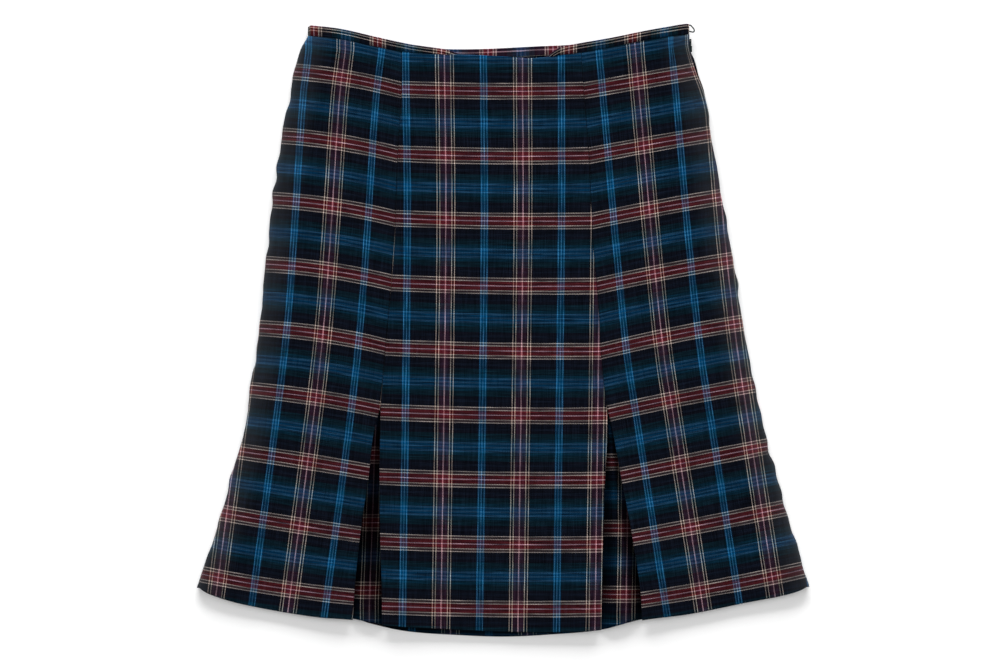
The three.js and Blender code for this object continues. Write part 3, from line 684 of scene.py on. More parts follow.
@dataclass(frozen=True)
class PanelCloth:
    """Lays the cloth of one panel: its face, turned edges and rolled edges.

    Attributes:
        shape: the panel's outline.
        height: height of the middle of the wall.
        up: 1 where the right side faces up, -1 where it faces down.
    """

    shape: PanelShape
    height: float
    up: int = 1

    def face(self, from_left: Any, from_right: Any, columns: int, down: Values) -> ClothGrid:
        """The flat part between two distances in from the edges."""
        width = self.shape.width(down)
        share = np.linspace(0, 1, columns + 2)[1:-1]
        x, y = self.shape.point(mix(from_left / width, 1 - from_right / width, share), down)
        return ClothGrid.of(x, y, self.height, 0.0, self.up, x)

    def turned_edge(self, edge: Edge, columns: int, down: Values) -> ClothGrid:
        """An edge turned under, from the inner end of the return to the face."""
        inward = edge.value
        _, edge_y = self.shape.point(0.0 if edge is Edge.LEFT else 1.0, down)
        trim = mix(-RETURN_WAIST_SHORT, RETURN_HEM_SHORT, down)
        share = np.linspace(1, 0, columns, endpoint=False)
        distance = mix(TURN_REACH, Outline.return_width(edge_y), share)
        centre_x, centre_y = self.shape.in_from(edge, TURN_REACH, down)
        x, y = self.shape.in_from(edge, distance, down)
        arc = TURN_ARC + distance - TURN_REACH
        under = ClothGrid.of(x, y + trim, self.height - LAYER_STEP, 0.0, -1.0, centre_x - inward * arc)
        part = np.linspace(0, 1, FOLD_STEPS + 1)
        angle = mix(-math.pi / 2, math.pi / 2, part)
        fold = ClothGrid.of(
            centre_x - inward * TURN_NOSE * np.cos(angle),
            centre_y + trim * (1 - part),
            self.height - FOLD_RADIUS + FOLD_RADIUS * np.sin(angle),
            -inward * np.cos(angle),
            np.sin(angle),
            centre_x - inward * TURN_ARC * (1 - part),
        )
        return ClothGrid.side_by_side([under, fold])

    def rolled_edge(self, edge: Edge, closed: Any, down: Values) -> ClothGrid:
        """A side edge that rolls down to the side seam, from the seam to the face.

        Args:
            edge: which edge.
            closed: 0 where the edge lies flat, 1 where it rolls right down.
            down: shares of the way from the waist to the hem.

        Returns:
            The rolled strip.
        """
        inward = edge.value
        angle_end = ROLL_ANGLE * np.maximum(closed, 1e-3)
        radius = ROLL_LENGTH / angle_end
        reach = (radius + CLOTH_WALL / 2) * np.sin(angle_end)
        part = np.linspace(0, 1, ROLL_STEPS + 1)
        angle = angle_end * (1 - part)
        start_x, y = self.shape.in_from(edge, reach, down)
        return ClothGrid.of(
            start_x - inward * radius * np.sin(angle),
            y,
            self.height - self.up * radius * (1 - np.cos(angle)),
            -inward * np.sin(angle),
            self.up * np.cos(angle),
            start_x - inward * radius * angle,
            ease(0, 1, part),
        )


def rows_down(length: float, spacing: float) -> Values:
    """Shares from waist to hem as a column, closer together beside both ends."""
    close = np.array([0.0, 0.5, 1.0, 1.7, 2.6])
    middle = np.linspace(4.0, length - 4.0, round((length - 8.0) / spacing) + 1)
    return (np.concatenate([close, middle, length - close[::-1]]) / length)[:, None]


# ---------------------------------------------------------------- finishes


class NodeBoard:
    """Adds and links the nodes of one material."""

    def __init__(self, name: str) -> None:
        """Starts an empty material."""
        self.material = bpy.data.materials.new(name)
        self.material.use_nodes = True
        self.tree = self.material.node_tree
        self.tree.nodes.clear()

    def put(self, socket: bpy.types.NodeSocket, value: Any) -> None:
        """Links a value to a socket, or sets it there."""
        if isinstance(value, bpy.types.NodeSocket):
            self.tree.links.new(value, socket)
        else:
            socket.default_value = value

    def node(self, kind: str, inputs: dict[str, Any] | None = None, **settings: Any) -> bpy.types.Node:
        """Adds a node with its settings and inputs."""
        made = self.tree.nodes.new(kind)
        for name, value in settings.items():
            setattr(made, name, value)
        for name, value in (inputs or {}).items():
            self.put(made.inputs[name], value)
        return made

    def math(self, operation: str, *values: Any) -> bpy.types.NodeSocket:
        """Adds a Math node and returns its result."""
        made = self.tree.nodes.new("ShaderNodeMath")
        made.operation = operation
        for socket, value in zip(made.inputs, values, strict=False):
            self.put(socket, value)
        return made.outputs[0]

    def mix_colour(self, factor: Any, first: Any, second: Any, blend: str = "MIX") -> bpy.types.NodeSocket:
        """Mixes two colours."""
        made = self.node("ShaderNodeMix", data_type="RGBA", blend_type=blend)
        self.put(made.inputs[0], factor)
        self.put(made.inputs[6], first)
        self.put(made.inputs[7], second)
        return made.outputs[2]

    def cloth_place(self) -> tuple[bpy.types.NodeSocket, bpy.types.NodeSocket]:
        """The cloth coordinates in millimetres, across the warp and along it."""
        place = self.node("ShaderNodeUVMap", uv_map="Cloth")
        parts = self.node("ShaderNodeSeparateXYZ", {"Vector": place.outputs["UV"]})
        return tuple(self.math("MULTIPLY", parts.outputs[axis], 1 / MM) for axis in ("X", "Y"))

    def finish(self, shader: bpy.types.Node) -> bpy.types.Material:
        """Links the shader to the output and returns the material."""
        output = self.node("ShaderNodeOutputMaterial")
        self.tree.links.new(shader.outputs[0], output.inputs["Surface"])
        return self.material


def coded(colour: Colour) -> tuple[float, float, float, float]:
    """A display colour from 0 to 255 as shares of one."""
    return (*(channel / 255 for channel in colour), 1.0)


def light_share(colour: Colour) -> tuple[float, float, float, float]:
    """A display colour from 0 to 255 as the share of light that it gives back."""
    return (*((channel / 255) ** 2.2 for channel in colour), 1.0)


class Stripe(NamedTuple):
    """A stripe of the check: where it starts, from the middle of the repeat, and its thread."""

    start: float
    colour: Colour


# Yarns of the check, each used wherever the cloth has that colour.
CREAM_YARN = (170, 155, 145)
ROSE_YARN = (175, 135, 145)
RED_YARN = (85, 25, 25)
PLUM_YARN = (50, 30, 42)
BROWN_YARN = (60, 45, 42)
BLACK_YARN = (15, 15, 20)
NAVY_YARN = (18, 22, 30)
GREEN_YARN = (12, 32, 38)
TEAL_YARN = (8, 42, 56)
STEEL_YARN = (32, 70, 98)
BLUE_YARN = (0, 50, 80)
SKY_YARN = (55, 105, 145)


@dataclass(frozen=True)
class CheckCloth:
    """Yarn-dyed twill in a dark check of navy, green and blue with red bands and fine pale lines.

    Attributes:
        name: name of the finish.
        painted_shade: whether its colour is darkened by the painted light share stored on its points.
        thread_pitch: distance from thread to thread.
        over_share: how much more the upper thread shows.
        thread_unevenness: how far threads differ from each other.
        thread_stride: how far apart neighbouring threads read the noise.
        streak_length: length over which a thread changes.
        warp_offset: where the warp reads the noise.
        weft_offset: where the weft reads the noise.
        weave_strength: strength of the weave's relief.
        weave_depth: depth of the weave's relief.
        painted_sheen_colour: pale grey that the colour is mixed towards by the painted sheen stored on its
            points.
        warp: stripes of the warp from the repeat's middle to its end.
        weft: stripes of the weft from the repeat's middle to its end.
    """

    name: str = "check_cloth"
    painted_shade: bool = False
    thread_pitch: float = 0.42
    over_share: float = 0.16
    thread_unevenness: float = 0.9
    thread_stride: float = 1.63
    streak_length: float = 26.0
    warp_offset: float = 0.37
    weft_offset: float = 71.13
    weave_strength: float = 0.35
    weave_depth: float = 0.12
    painted_sheen_colour: tuple[float, float, float] = (0.2, 0.21, 0.22)
    warp: tuple[Stripe, ...] = (
        Stripe(0.0, ROSE_YARN),
        Stripe(0.5, PLUM_YARN),
        Stripe(5.0, BLACK_YARN),
        Stripe(5.5, CREAM_YARN),
        Stripe(6.4, BLACK_YARN),
        Stripe(8.4, CREAM_YARN),
        Stripe(9.3, BLACK_YARN),
        Stripe(10.5, NAVY_YARN),
        Stripe(34.5, BLUE_YARN),
        Stripe(35.1, SKY_YARN),
        Stripe(36.1, BLUE_YARN),
        Stripe(38.0, SKY_YARN),
    )
    weft: tuple[Stripe, ...] = (
        Stripe(0.0, ROSE_YARN),
        Stripe(0.5, RED_YARN),
        Stripe(4.4, CREAM_YARN),
        Stripe(5.3, BROWN_YARN),
        Stripe(7.3, CREAM_YARN),
        Stripe(8.2, BLACK_YARN),
        Stripe(13.0, NAVY_YARN),
        Stripe(15.5, BLACK_YARN),
        Stripe(18.5, GREEN_YARN),
        Stripe(24.0, TEAL_YARN),
        Stripe(27.5, STEEL_YARN),
        Stripe(29.5, BLUE_YARN),
        Stripe(31.5, STEEL_YARN),
    )

    def _sett(self, board: NodeBoard, place: Any, half: float, stripes: tuple[Stripe, ...]) -> Any:
        """Thread colours across a repeat that reads the same both ways from its middle."""
        folded = board.math("DIVIDE", board.math("PINGPONG", place, half), half)
        ramp = board.node("ShaderNodeValToRGB", {"Fac": folded})
        ramp.color_ramp.interpolation = "CONSTANT"
        ramp.color_ramp.elements.remove(ramp.color_ramp.elements[-1])
        ramp.color_ramp.elements[0].color = coded(stripes[0].colour)
        for stripe in stripes[1:]:
            ramp.color_ramp.elements.new(stripe.start / half).color = coded(stripe.colour)
        return ramp.outputs["Color"]

    def _uneven(self, board: NodeBoard, colour: Any, thread: Any, along: Any, seed: float) -> Any:
        """The same colour, lighter or darker from thread to thread and slowly along each one."""
        place = board.node("ShaderNodeCombineXYZ", {
            "X": board.math("MULTIPLY_ADD", thread, self.thread_stride, seed),
            "Y": board.math("DIVIDE", along, self.streak_length),
        })
        noise = board.node("ShaderNodeTexNoise", {
            "Vector": place.outputs[0], "Scale": 1.0, "Detail": 1.0,
        }, noise_dimensions="2D")
        off_middle = board.math("SUBTRACT", noise.outputs["Fac"], 0.5)
        spread = board.math("MULTIPLY", off_middle, 2 * self.thread_unevenness)
        grey = board.node("ShaderNodeCombineColor")
        for name in ("Red", "Green", "Blue"):
            board.put(grey.inputs[name], board.math("ADD", spread, 1.0))
        return board.mix_colour(1.0, colour, grey.outputs[0], "MULTIPLY")

    def _round(self, board: NodeBoard, place: Any) -> Any:
        """The rounded height of the threads that lie side by side along a direction."""
        turn = board.math("MULTIPLY", place, math.pi / self.thread_pitch)
        return board.math("ABSOLUTE", board.math("SINE", turn))

    def material(self) -> bpy.types.Material:
        """Makes the material."""
        board = NodeBoard(self.name)
        across, along = board.cloth_place()
        end = board.math("FLOOR", board.math("DIVIDE", across, self.thread_pitch))
        pick = board.math("FLOOR", board.math("DIVIDE", along, self.thread_pitch))
        step = board.math("FRACT", board.math("DIVIDE", board.math("ADD", end, pick), 4.0))
        weft_over = board.math("LESS_THAN", step, 0.5)
        warp_sett = self._sett(board, across, WARP_REPEAT / 2, self.warp)
        warp = self._uneven(board, warp_sett, end, along, self.warp_offset)
        weft_sett = self._sett(board, along, WEFT_REPEAT / 2, self.weft)
        weft = self._uneven(board, weft_sett, pick, across, self.weft_offset)
        share = board.math("MULTIPLY_ADD", weft_over, 2 * self.over_share, 0.5 - self.over_share)
        woven = board.mix_colour(share, warp, weft)
        colour = board.node("ShaderNodeGamma", {"Color": woven, "Gamma": 2.2}).outputs[0]
        # Painted shade: the colour is darkened by the light share stored on the points.
        if self.painted_shade:
            painted_light_node = board.node("ShaderNodeAttribute", attribute_name=PAINTED_LIGHT_SHARE)
            colour = board.mix_colour(painted_light_node.outputs["Fac"], (0.0, 0.0, 0.0, 1.0), colour)
        else:
            # Painted sheen: the colour is paled towards grey by the share stored on the points.
            sheen_mark = board.node("ShaderNodeAttribute", attribute_name=PAINTED_EDGE_SHEEN)
            colour = board.mix_colour(sheen_mark.outputs["Fac"], colour, (*self.painted_sheen_colour, 1.0))
        warp_round = self._round(board, across)
        weft_round = self._round(board, along)
        height = board.node("ShaderNodeMix", data_type="FLOAT")
        board.put(height.inputs[0], weft_over)
        board.put(height.inputs[2], warp_round)
        board.put(height.inputs[3], weft_round)
        bump = board.node("ShaderNodeBump", {
            "Height": height.outputs[0], "Strength": self.weave_strength, "Distance": self.weave_depth * MM,
        })
        shader = board.node("ShaderNodeBsdfPrincipled", {
            "Base Color": colour,
            "Roughness": 0.9,
            "Specular IOR Level": 0.0 if self.painted_shade else 0.004,
            "Sheen Weight": 0.0 if self.painted_shade else 0.012,
            "Normal": bump.outputs[0],
        })
        return board.finish(shader)


@dataclass(frozen=True)
class ZipTape:
    """Black woven tape with a fine herringbone rib."""

    rib: float = 0.8
    colour: Colour = (24, 25, 28)

    def material(self) -> bpy.types.Material:
        """Makes the material."""
        board = NodeBoard("zip_tape")
        across, along = board.cloth_place()
        zigzag = board.math("PINGPONG", across, 2.0)
        slant = board.math("MULTIPLY", board.math("ADD", along, zigzag), 2 * math.pi / self.rib)
        wave = board.math("SINE", slant)
        shade = board.math("MULTIPLY_ADD", wave, 0.5, 0.5)
        colour = board.mix_colour(shade, light_share((15, 16, 18)), light_share(self.colour))
        bump = board.node("ShaderNodeBump", {"Height": wave, "Strength": 0.4, "Distance": 0.0001})
        shader = board.node("ShaderNodeBsdfPrincipled", {
            "Base Color": colour,
            "Roughness": 0.85,
            "Specular IOR Level": 0.2,
            "Normal": bump.outputs[0],
        })
        return board.finish(shader)


@dataclass(frozen=True)
class MouldedBlack:
    """A black part with fine unevenness, such as nylon coil, enamelled wire or sewing thread.

    Attributes:
        name: name of the finish.
        colour: display colour.
        roughness: how rough its surface is.
        gloss: strength of its gloss.
        metallic: how metallic it is.
        grain: size of its unevenness.
        depth: depth of its unevenness.
    """

    name: str
    colour: Colour
    roughness: float
    gloss: float
    metallic: float
    grain: float
    depth: float

    def material(self) -> bpy.types.Material:
        """Makes the material."""
        board = NodeBoard(self.name)
        place = board.node("ShaderNodeTexCoord")
        noise = board.node("ShaderNodeTexNoise", {
            "Vector": place.outputs["Object"], "Scale": 1 / (self.grain * MM), "Detail": 3.0,
        })
        lighter = tuple(min(255, round(channel * 1.5) + 6) for channel in self.colour)
        colour = board.mix_colour(noise.outputs[0], light_share(self.colour), light_share(lighter))
        rough = board.math("MULTIPLY_ADD", noise.outputs[0], 0.2, self.roughness - 0.1)
        bump = board.node("ShaderNodeBump", {
            "Height": noise.outputs[0], "Strength": 0.3, "Distance": self.depth * MM,
        })
        shader = board.node("ShaderNodeBsdfPrincipled", {
            "Base Color": colour,
            "Roughness": rough,
            "Metallic": self.metallic,
            "Specular IOR Level": self.gloss,
            "Normal": bump.outputs[0],
        })
        return board.finish(shader)


NYLON_COIL = MouldedBlack("zip_teeth", (20, 21, 24), 0.4, 0.5, 0.0, 0.6, 0.02)
BLACK_ENAMEL = MouldedBlack("black_metal", (6, 19, 20), 0.55, 0.2, 0.05, 1.2, 0.015)
SEWING_THREAD = MouldedBlack("sewing_thread", (18, 18, 22), 0.8, 0.2, 0.0, 0.25, 0.03)


class Finishes:
    """The materials, each made once."""

    def __init__(self) -> None:
        """Makes every material."""
        self.cloth = CheckCloth().material()
        # A copy of the cloth with painted shade, for the pleat underlays and the back.
        self.cloth_painted_shade = CheckCloth(name="check_cloth_in_folds", painted_shade=True).material()
        self.tape = ZipTape().material()
        self.coil = NYLON_COIL.material()
        self.metal = BLACK_ENAMEL.material()
        self.thread = SEWING_THREAD.material()


def dress(
    piece: bpy.types.Object, material: bpy.types.Material, body: str, slot: str, *nodes: str,
) -> bpy.types.Object:
    """Gives a piece its finish and body, and hides the CAD nodes that it stands for.

    Args:
        piece: the piece.
        material: its finish.
        body: the body that it rides on.
        slot: the record's material slot; not used.
        nodes: CAD nodes that it replaces.

    Returns:
        The piece.
    """
    piece.data.materials.append(material)
    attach(piece, body)
    if nodes:
        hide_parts(*nodes)
    LOG.info("%s: %d faces", piece.name, len(piece.data.polygons))
    return piece


def mark_cloth(piece: bpy.types.Object, mark: str, values: Values) -> None:
    """Stores a value for each point of a cloth, such as its painted sheen or painted light share, that its
    finish reads.
    """
    layer = piece.data.attributes.new(mark, "FLOAT", "POINT")
    layer.data.foreach_set("value", np.asarray(values, dtype=np.float32))


# ---------------------------------------------------------------- the skirt's cloth


@dataclass(frozen=True)
class BodyRelief:
    """Heights that a front or back panel adds to its flat lay.

    Attributes:
        shape: the panel.
        sag: how far its middle lies lower.
        creases: soft ridges and troughs.
        pleat_lift: lift of its folded edges near the hem, left and right.
        pucker: height of the cloth's fine unevenness.
        seed: seed of that unevenness.
    """

    SAG_REACHED = 70.0
    WAIST_TUCK = 0.6
    WAIST_TUCK_REACH = 3.0
    PLEAT_LIFT_FULL_AT = -290.0
    PLEAT_LIFT_REACH = 45.0
    FINE_SPACING = (14.0, 20.0)
    SLOW_SPACING = (46.0, 60.0)

    shape: PanelShape
    sag: float
    creases: tuple[Crease, ...]
    pleat_lift: tuple[float, float] = (0.0, 0.0)
    pucker: float = 0.12
    seed: int = 1

    def __call__(self, x: Values, y: Values) -> Values:
        """The height at these places."""
        share = np.clip(self.shape.share_across(x, y), 0.0, 1.0)
        below_waist = self.shape.top(x) - y
        height = -self.sag * np.sin(math.pi * share) ** 2 * ease(0.0, self.SAG_REACHED, below_waist)
        height = height - self.WAIST_TUCK * (1.0 - ease(0.0, self.WAIST_TUCK_REACH, below_waist))
        hem_side = 1.0 - ease(self.PLEAT_LIFT_FULL_AT, PLEAT_TOP, y)
        width = self.shape.right(y) - self.shape.left(y)
        left_lift, right_lift = self.pleat_lift
        reach = self.PLEAT_LIFT_REACH
        height = height + left_lift * hem_side * (1.0 - ease(0.0, reach, share * width))
        height = height + right_lift * hem_side * (1.0 - ease(0.0, reach, (1.0 - share) * width))
        height = height + self.pucker * Unevenness(self.FINE_SPACING, self.seed)(x, y)
        height = height + 2.0 * self.pucker * Unevenness(self.SLOW_SPACING, self.seed + 1)(x, y)
        for crease in self.creases:
            height = height + crease.relief(x, y)
        return height


def hem_wall(shape: PanelShape, grid: ClothGrid) -> Values:
    """Distance from a panel's grid to its wrong side, thicker where the hem is turned up."""
    above_hem = grid.at[..., 1] - shape.hem(grid.at[..., 0])
    return CLOTH_WALL / 2 + HEM_EXTRA * (1.0 - ease(HEM_DEPTH - 2.0, HEM_DEPTH, above_hem))


@dataclass
class CentreFront:
    """The centre front panel, with a return turned under along each side."""

    outline: Outline
    cloth: bpy.types.Material
    sag: float = 0.8
    row_spacing: float = 2.3
    columns: int = 86
    return_columns: int = 12
    bands: tuple[BandRow, ...] = (
        BandRow(1, 241.0, 239.0, 240.0),
        BandRow(5, -17.0, -20.5, -21.0),
        BandRow(9, -275.5, -278.5, -278.0),
    )
    leans: tuple[StripeLean, ...] = (
        StripeLean(280, 19.0, 39.0),
        StripeLean(100, 19.5, 38.5),
        StripeLean(-300, 14.5, 38.5),
    )
    creases: tuple[Crease, ...] = (
        Crease((-96, 262), (-60, 250), -0.35, 7.0, 3.0),
        Crease((-104, 176), (-52, 168), 0.25, 6.0, -4.0),
        Crease((64, 262), (26, 254), -0.3, 7.0, -3.0),
        Crease((76, 158), (30, 150), 0.25, 6.0, 4.0),
        Crease((-112, 34), (-66, 40), -0.25, 7.0, 3.0),
        Crease((92, 22), (48, 30), -0.25, 7.0, -3.0),
        Crease((-20, 120), (-14, -60), 0.3, 26.0, 8.0),
        Crease((-84, -90), (-78, -292), 0.5, 16.0, 3.0),
        Crease((56, -110), (66, -296), 0.45, 18.0, -4.0),
    )

    def build(self) -> bpy.types.Object:
        """Makes and dresses the panel."""
        outline = self.outline
        shape = PanelShape(
            outline.right_seam_centre, outline.left_seam_centre, outline.front_seam, outline.front_hem,
        )
        down = rows_down(580.0, self.row_spacing)
        panel = PanelCloth(shape, FACE_HEIGHT)
        grid = ClothGrid.side_by_side([
            panel.turned_edge(Edge.LEFT, self.return_columns, down),
            panel.face(TURN_REACH, TURN_REACH, self.columns, down),
            panel.turned_edge(Edge.RIGHT, self.return_columns, down).mirrored(),
        ])
        grid.raise_by(BodyRelief(shape, self.sag, self.creases, (0.6, 0.5), seed=11))
        cloth = Grain(shape, self.bands, self.leans).cloth(grid.flat)
        made = cloth_wall("centre_front_cloth", grid, cloth, CLOTH_WALL / 2, hem_wall(shape, grid))
        return dress(made, self.cloth, "skirt", "check_cloth", "centre_front")


class Side(Enum):
    """The wearer's side that a piece is on."""

    RIGHT = "right"
    LEFT = "left"


RIGHT_BANDS = (
    BandRow(1, 258.5, 252.0, 240.0),
    BandRow(5, 2.0, -4.0, -16.5),
    BandRow(9, -243.5, -257.0, -266.5),
)
RIGHT_LEANS = (
    StripeLean(280, -158.0, 36.5),
    StripeLean(230, -164.0, 36.5),
    StripeLean(100, -172.5, 36.5),
    StripeLean(0, -180.0, 36.5),
    StripeLean(-100, -191.5, 37.0),
    StripeLean(-300, -218.0, 37.0),
)
LEFT_BANDS = (
    BandRow(1, 239.5, 249.5, 259.0),
    BandRow(5, -21.0, -5.0, 7.5),
    BandRow(9, -269.5, -255.5, -239.0),
)
LEFT_LEANS = (
    StripeLean(285, 131.5, 36.5),
    StripeLean(200, 139.0, 36.5),
    StripeLean(80, 149.5, 36.5),
    StripeLean(-20, 160.0, 37.0),
    StripeLean(-100, 172.0, 37.0),
    StripeLean(-300, 203.0, 37.0),
)
LEFT_CROWDING = 16.0
RIGHT_CREASES = (
    Crease((-218, 214), (-178, 206), 0.5, 7.0, 3.0),
    Crease((-222, 150), (-186, 158), 0.6, 7.0, -3.0),
    Crease((-232, 97), (-196, 92), -0.6, 7.0, 2.0),
    Crease((-236, 50), (-198, 58), 0.5, 7.0, 3.0),
    Crease((-242, 18), (-206, 14), 0.45, 6.0, -3.0),
    Crease((-246, -31), (-212, -26), -0.5, 7.0, 3.0),
    Crease((-250, -47), (-218, -52), 0.45, 6.0, 2.0),
    Crease((-256, -79), (-222, -72), 0.5, 7.0, -3.0),
    Crease((-262, -108), (-224, -116), 0.7, 8.0, 4.0),
    Crease((-130, 268), (-112, 226), -0.5, 7.0, 4.0),
    Crease((-176, 262), (-170, 196), 0.4, 12.0, -5.0),
    Crease((-190, -130), (-206, -276), 0.6, 20.0, 6.0),
    Crease((-244, -150), (-272, -266), -0.5, 18.0, -5.0),
)
LEFT_CREASES = (
    Crease((206, 212), (168, 204), 0.6, 7.0, 3.0),
    Crease((210, 180), (176, 186), 0.4, 6.0, -3.0),
    Crease((214, 140), (180, 146), -0.6, 7.0, 3.0),
    Crease((226, 84), (188, 78), 0.5, 7.0, -2.0),
    Crease((230, 48), (198, 54), 0.5, 6.0, 3.0),
    Crease((234, 24), (204, 20), 0.45, 6.0, -3.0),
    Crease((244, -36), (206, -30), 0.6, 7.0, 3.0),
    Crease((250, -68), (214, -74), 0.5, 6.0, 2.0),
    Crease((276, -168), (240, -160), 0.5, 9.0, -3.0),
    Crease((94, 262), (84, 214), -0.6, 7.0, -4.0),
    Crease((150, 268), (146, 190), 0.4, 13.0, 5.0),
    Crease((178, -120), (196, -272), 0.6, 20.0, -6.0),
    Crease((236, -140), (262, -262), -0.5, 18.0, 5.0),
)


@dataclass
class SideFront:
    """A side front panel, from the front seam and pleat to the rolled side edge."""

    outline: Outline
    cloth: bpy.types.Material
    side: Side
    # Painted sheen: the side front pales towards grey on its side edge's fold and beside it.
    fold_sheen: float = 0.05
    fold_sheen_reach: float = 7.0
    side_sheen: float = 0.05
    side_sheen_reach: float = 36.0
    sag: float = 0.9
    row_spacing: float = 2.3
    columns: int = 56
    return_columns: int = 12

    def build(self) -> bpy.types.Object:
        """Makes and dresses the panel."""
        outline = self.outline
        down = rows_down(570.0, self.row_spacing)
        on_right = self.side is Side.RIGHT
        if on_right:
            shape = PanelShape(
                outline.right_side, outline.right_seam_side, outline.front_seam, outline.front_hem,
            )
            closed = 1.0
        else:
            shape = PanelShape(
                outline.left_seam_side, outline.left_side, outline.front_seam, outline.front_hem,
            )
            closed = Outline.seam_closed(shape.point(1.0, down)[1])
        seam_edge, side_edge = (Edge.RIGHT, Edge.LEFT) if on_right else (Edge.LEFT, Edge.RIGHT)
        panel = PanelCloth(shape, FACE_HEIGHT)
        turned = panel.turned_edge(seam_edge, self.return_columns, down)
        rolled = panel.rolled_edge(side_edge, closed, down)
        reaches = (ROLL_RADIUS, TURN_REACH) if on_right else (TURN_REACH, ROLL_LENGTH)
        face = panel.face(*reaches, self.columns, down)
        parts = [rolled, face, turned.mirrored()] if on_right else [turned, face, rolled.mirrored()]
        grid = ClothGrid.side_by_side(parts)
        creases = RIGHT_CREASES if on_right else LEFT_CREASES
        lift = (0.0, 0.8) if on_right else (1.0, 0.0)
        grid.raise_by(BodyRelief(shape, self.sag, creases, lift, seed=23 if on_right else 37))
        if not on_right:
            grid.at[..., 2] += Outline.closure_lift(grid.at[..., 0], grid.at[..., 1])
        if on_right:
            grain = Grain(shape, RIGHT_BANDS, RIGHT_LEANS)
        else:
            grain = Grain(shape, LEFT_BANDS, LEFT_LEANS, LEFT_CROWDING)
        name = f"{self.side.value}_side_front"
        cloth = grain.cloth(grid.flat)
        made = cloth_wall(f"{name}_cloth", grid, cloth, CLOTH_WALL / 2, hem_wall(shape, grid))
        mark_cloth(made, PAINTED_EDGE_SHEEN, self._painted_sheen(made))
        return dress(made, self.cloth, "skirt", "check_cloth", name)

    def _painted_sheen(self, made: bpy.types.Object) -> Values:
        """How much painted sheen each point takes: a little on the side edge's fold and less beside it."""
        x, y = np.array([vertex.co[:2] for vertex in made.data.vertices]).T / MM
        outline = self.outline
        inside = x - outline.right_side(y) if self.side is Side.RIGHT else outline.left_side(y) - x
        fold = self.fold_sheen * (1.0 - ease(0.0, self.fold_sheen_reach, inside))
        return fold + self.side_sheen * (1.0 - ease(0.0, self.side_sheen_reach, inside))


class FoldLightRow(NamedTuple):
    """Share of light painted into a pleat underlay's colour at a height, as painted shade: beside the centre
    front, between, beside the side front.
    """

    y: float
    by_centre: float
    middle: float
    by_side: float


# Painted shade of the pleat underlays: lower shares are darker.
RIGHT_FOLD_LIGHT = (
    FoldLightRow(-106, 0.1, 0.1, 0.3),
    FoldLightRow(-240, 0.15, 0.1, 0.2),
    FoldLightRow(-290, 0.3, 0.5, 0.8),
)
LEFT_FOLD_LIGHT = (
    FoldLightRow(-106, 0.3, 0.9, 0.3),
    FoldLightRow(-240, 0.3, 0.7, 0.1),
    FoldLightRow(-290, 0.6, 0.9, 0.4),
)


@dataclass
class PleatUnderlay:
    """The flat piece behind a pleat, from under one return to under the other, with the folds' shade painted
    into its colour.
    """

    outline: Outline
    cloth: bpy.types.Material
    side: Side
    swell: float = 3.6
    swell_side: float = 0.24
    swells_from: float = -205.0
    swells_full_at: float = -280.0
    rows: int = 90
    columns: int = 34

    def build(self) -> bpy.types.Object:
        """Makes and dresses the underlay."""
        outline = self.outline
        if self.side is Side.RIGHT:
            left_edge, right_edge = outline.right_seam_side, outline.right_seam_centre
            bands = (BandRow(1, -125.0, -125.0, -125.0), BandRow(3, -260.0, -260.0, -260.0))
            leans = (StripeLean(-100, -128.0, 38.5), StripeLean(-270, -134.0, 38.5))
        else:
            left_edge, right_edge = outline.left_seam_centre, outline.left_seam_side
            bands = (BandRow(1, -132.0, -132.0, -132.0), BandRow(3, -264.0, -264.0, -264.0))
            leans = (StripeLean(-200, 124.0, 38.5), StripeLean(-284, 122.5, 38.5))
        top = PLEAT_TOP + UNDERLAY_ABOVE_PLEAT
        shape = PanelShape(
            lambda y: left_edge(y) - Outline.return_width(y) + UNDERLAY_INSET,
            lambda y: right_edge(y) + Outline.return_width(y) - UNDERLAY_INSET,
            lambda x: np.asarray(x) * 0.0 + top,
            lambda x: outline.front_hem(x) + RETURN_HEM_SHORT / 2,
        )
        down = np.linspace(0, 1, self.rows)[:, None]
        grid = PanelCloth(shape, UNDERLAY_HEIGHT).face(0.0, 0.0, self.columns, down)
        x, y = grid.at[..., 0], grid.at[..., 1]
        grid.at[..., 2] += 0.15 * Unevenness((18.0, 40.0), 5)(x, y)
        across = np.clip((x - left_edge(y)) / (right_edge(y) - left_edge(y)), 0.0, 1.0)
        near_hem = 1.0 - ease(self.swells_full_at, self.swells_from, y)
        full = ease(0.0, self.swell_side, across) * (1.0 - ease(1.0 - self.swell_side, 1.0, across))
        grid.at[..., 2] += self.swell * near_hem * full
        cloth = Grain(shape, bands, leans).cloth(grid.flat)
        name = f"{self.side.value}_underlay_cloth"
        made = cloth_wall(name, grid, cloth, CLOTH_WALL / 2, CLOTH_WALL / 2)
        self._paint_shade(made)
        return dress(made, self.cloth, "skirt", "check_cloth", f"{self.side.value}_pleat_underlay")

    def _paint_shade(self, made: bpy.types.Object) -> None:
        """Stores the share of light painted into the underlay's colour at each point, as painted shade in the
        pleat.
        """
        outline = self.outline
        if self.side is Side.RIGHT:
            centre, side, rows = outline.right_seam_centre, outline.right_seam_side, RIGHT_FOLD_LIGHT
        else:
            centre, side, rows = outline.left_seam_centre, outline.left_seam_side, LEFT_FOLD_LIGHT
        points = np.array([vertex.co[:2] for vertex in made.data.vertices]) / MM
        x, y = points.T
        share = (x - centre(y)) / (side(y) - centre(y))
        levels = np.stack([TableCurve(rows, "y", name)(y) for name in FoldLightRow._fields[1:]])
        at = np.clip(share * len(levels) - 0.5, 0.0, len(levels) - 1.001)
        before = at.astype(int)
        point = np.arange(len(x))
        light = mix(levels[before, point], levels[before + 1, point], ease(0.0, 1.0, at - before))
        mark_cloth(made, PAINTED_LIGHT_SHARE, light)


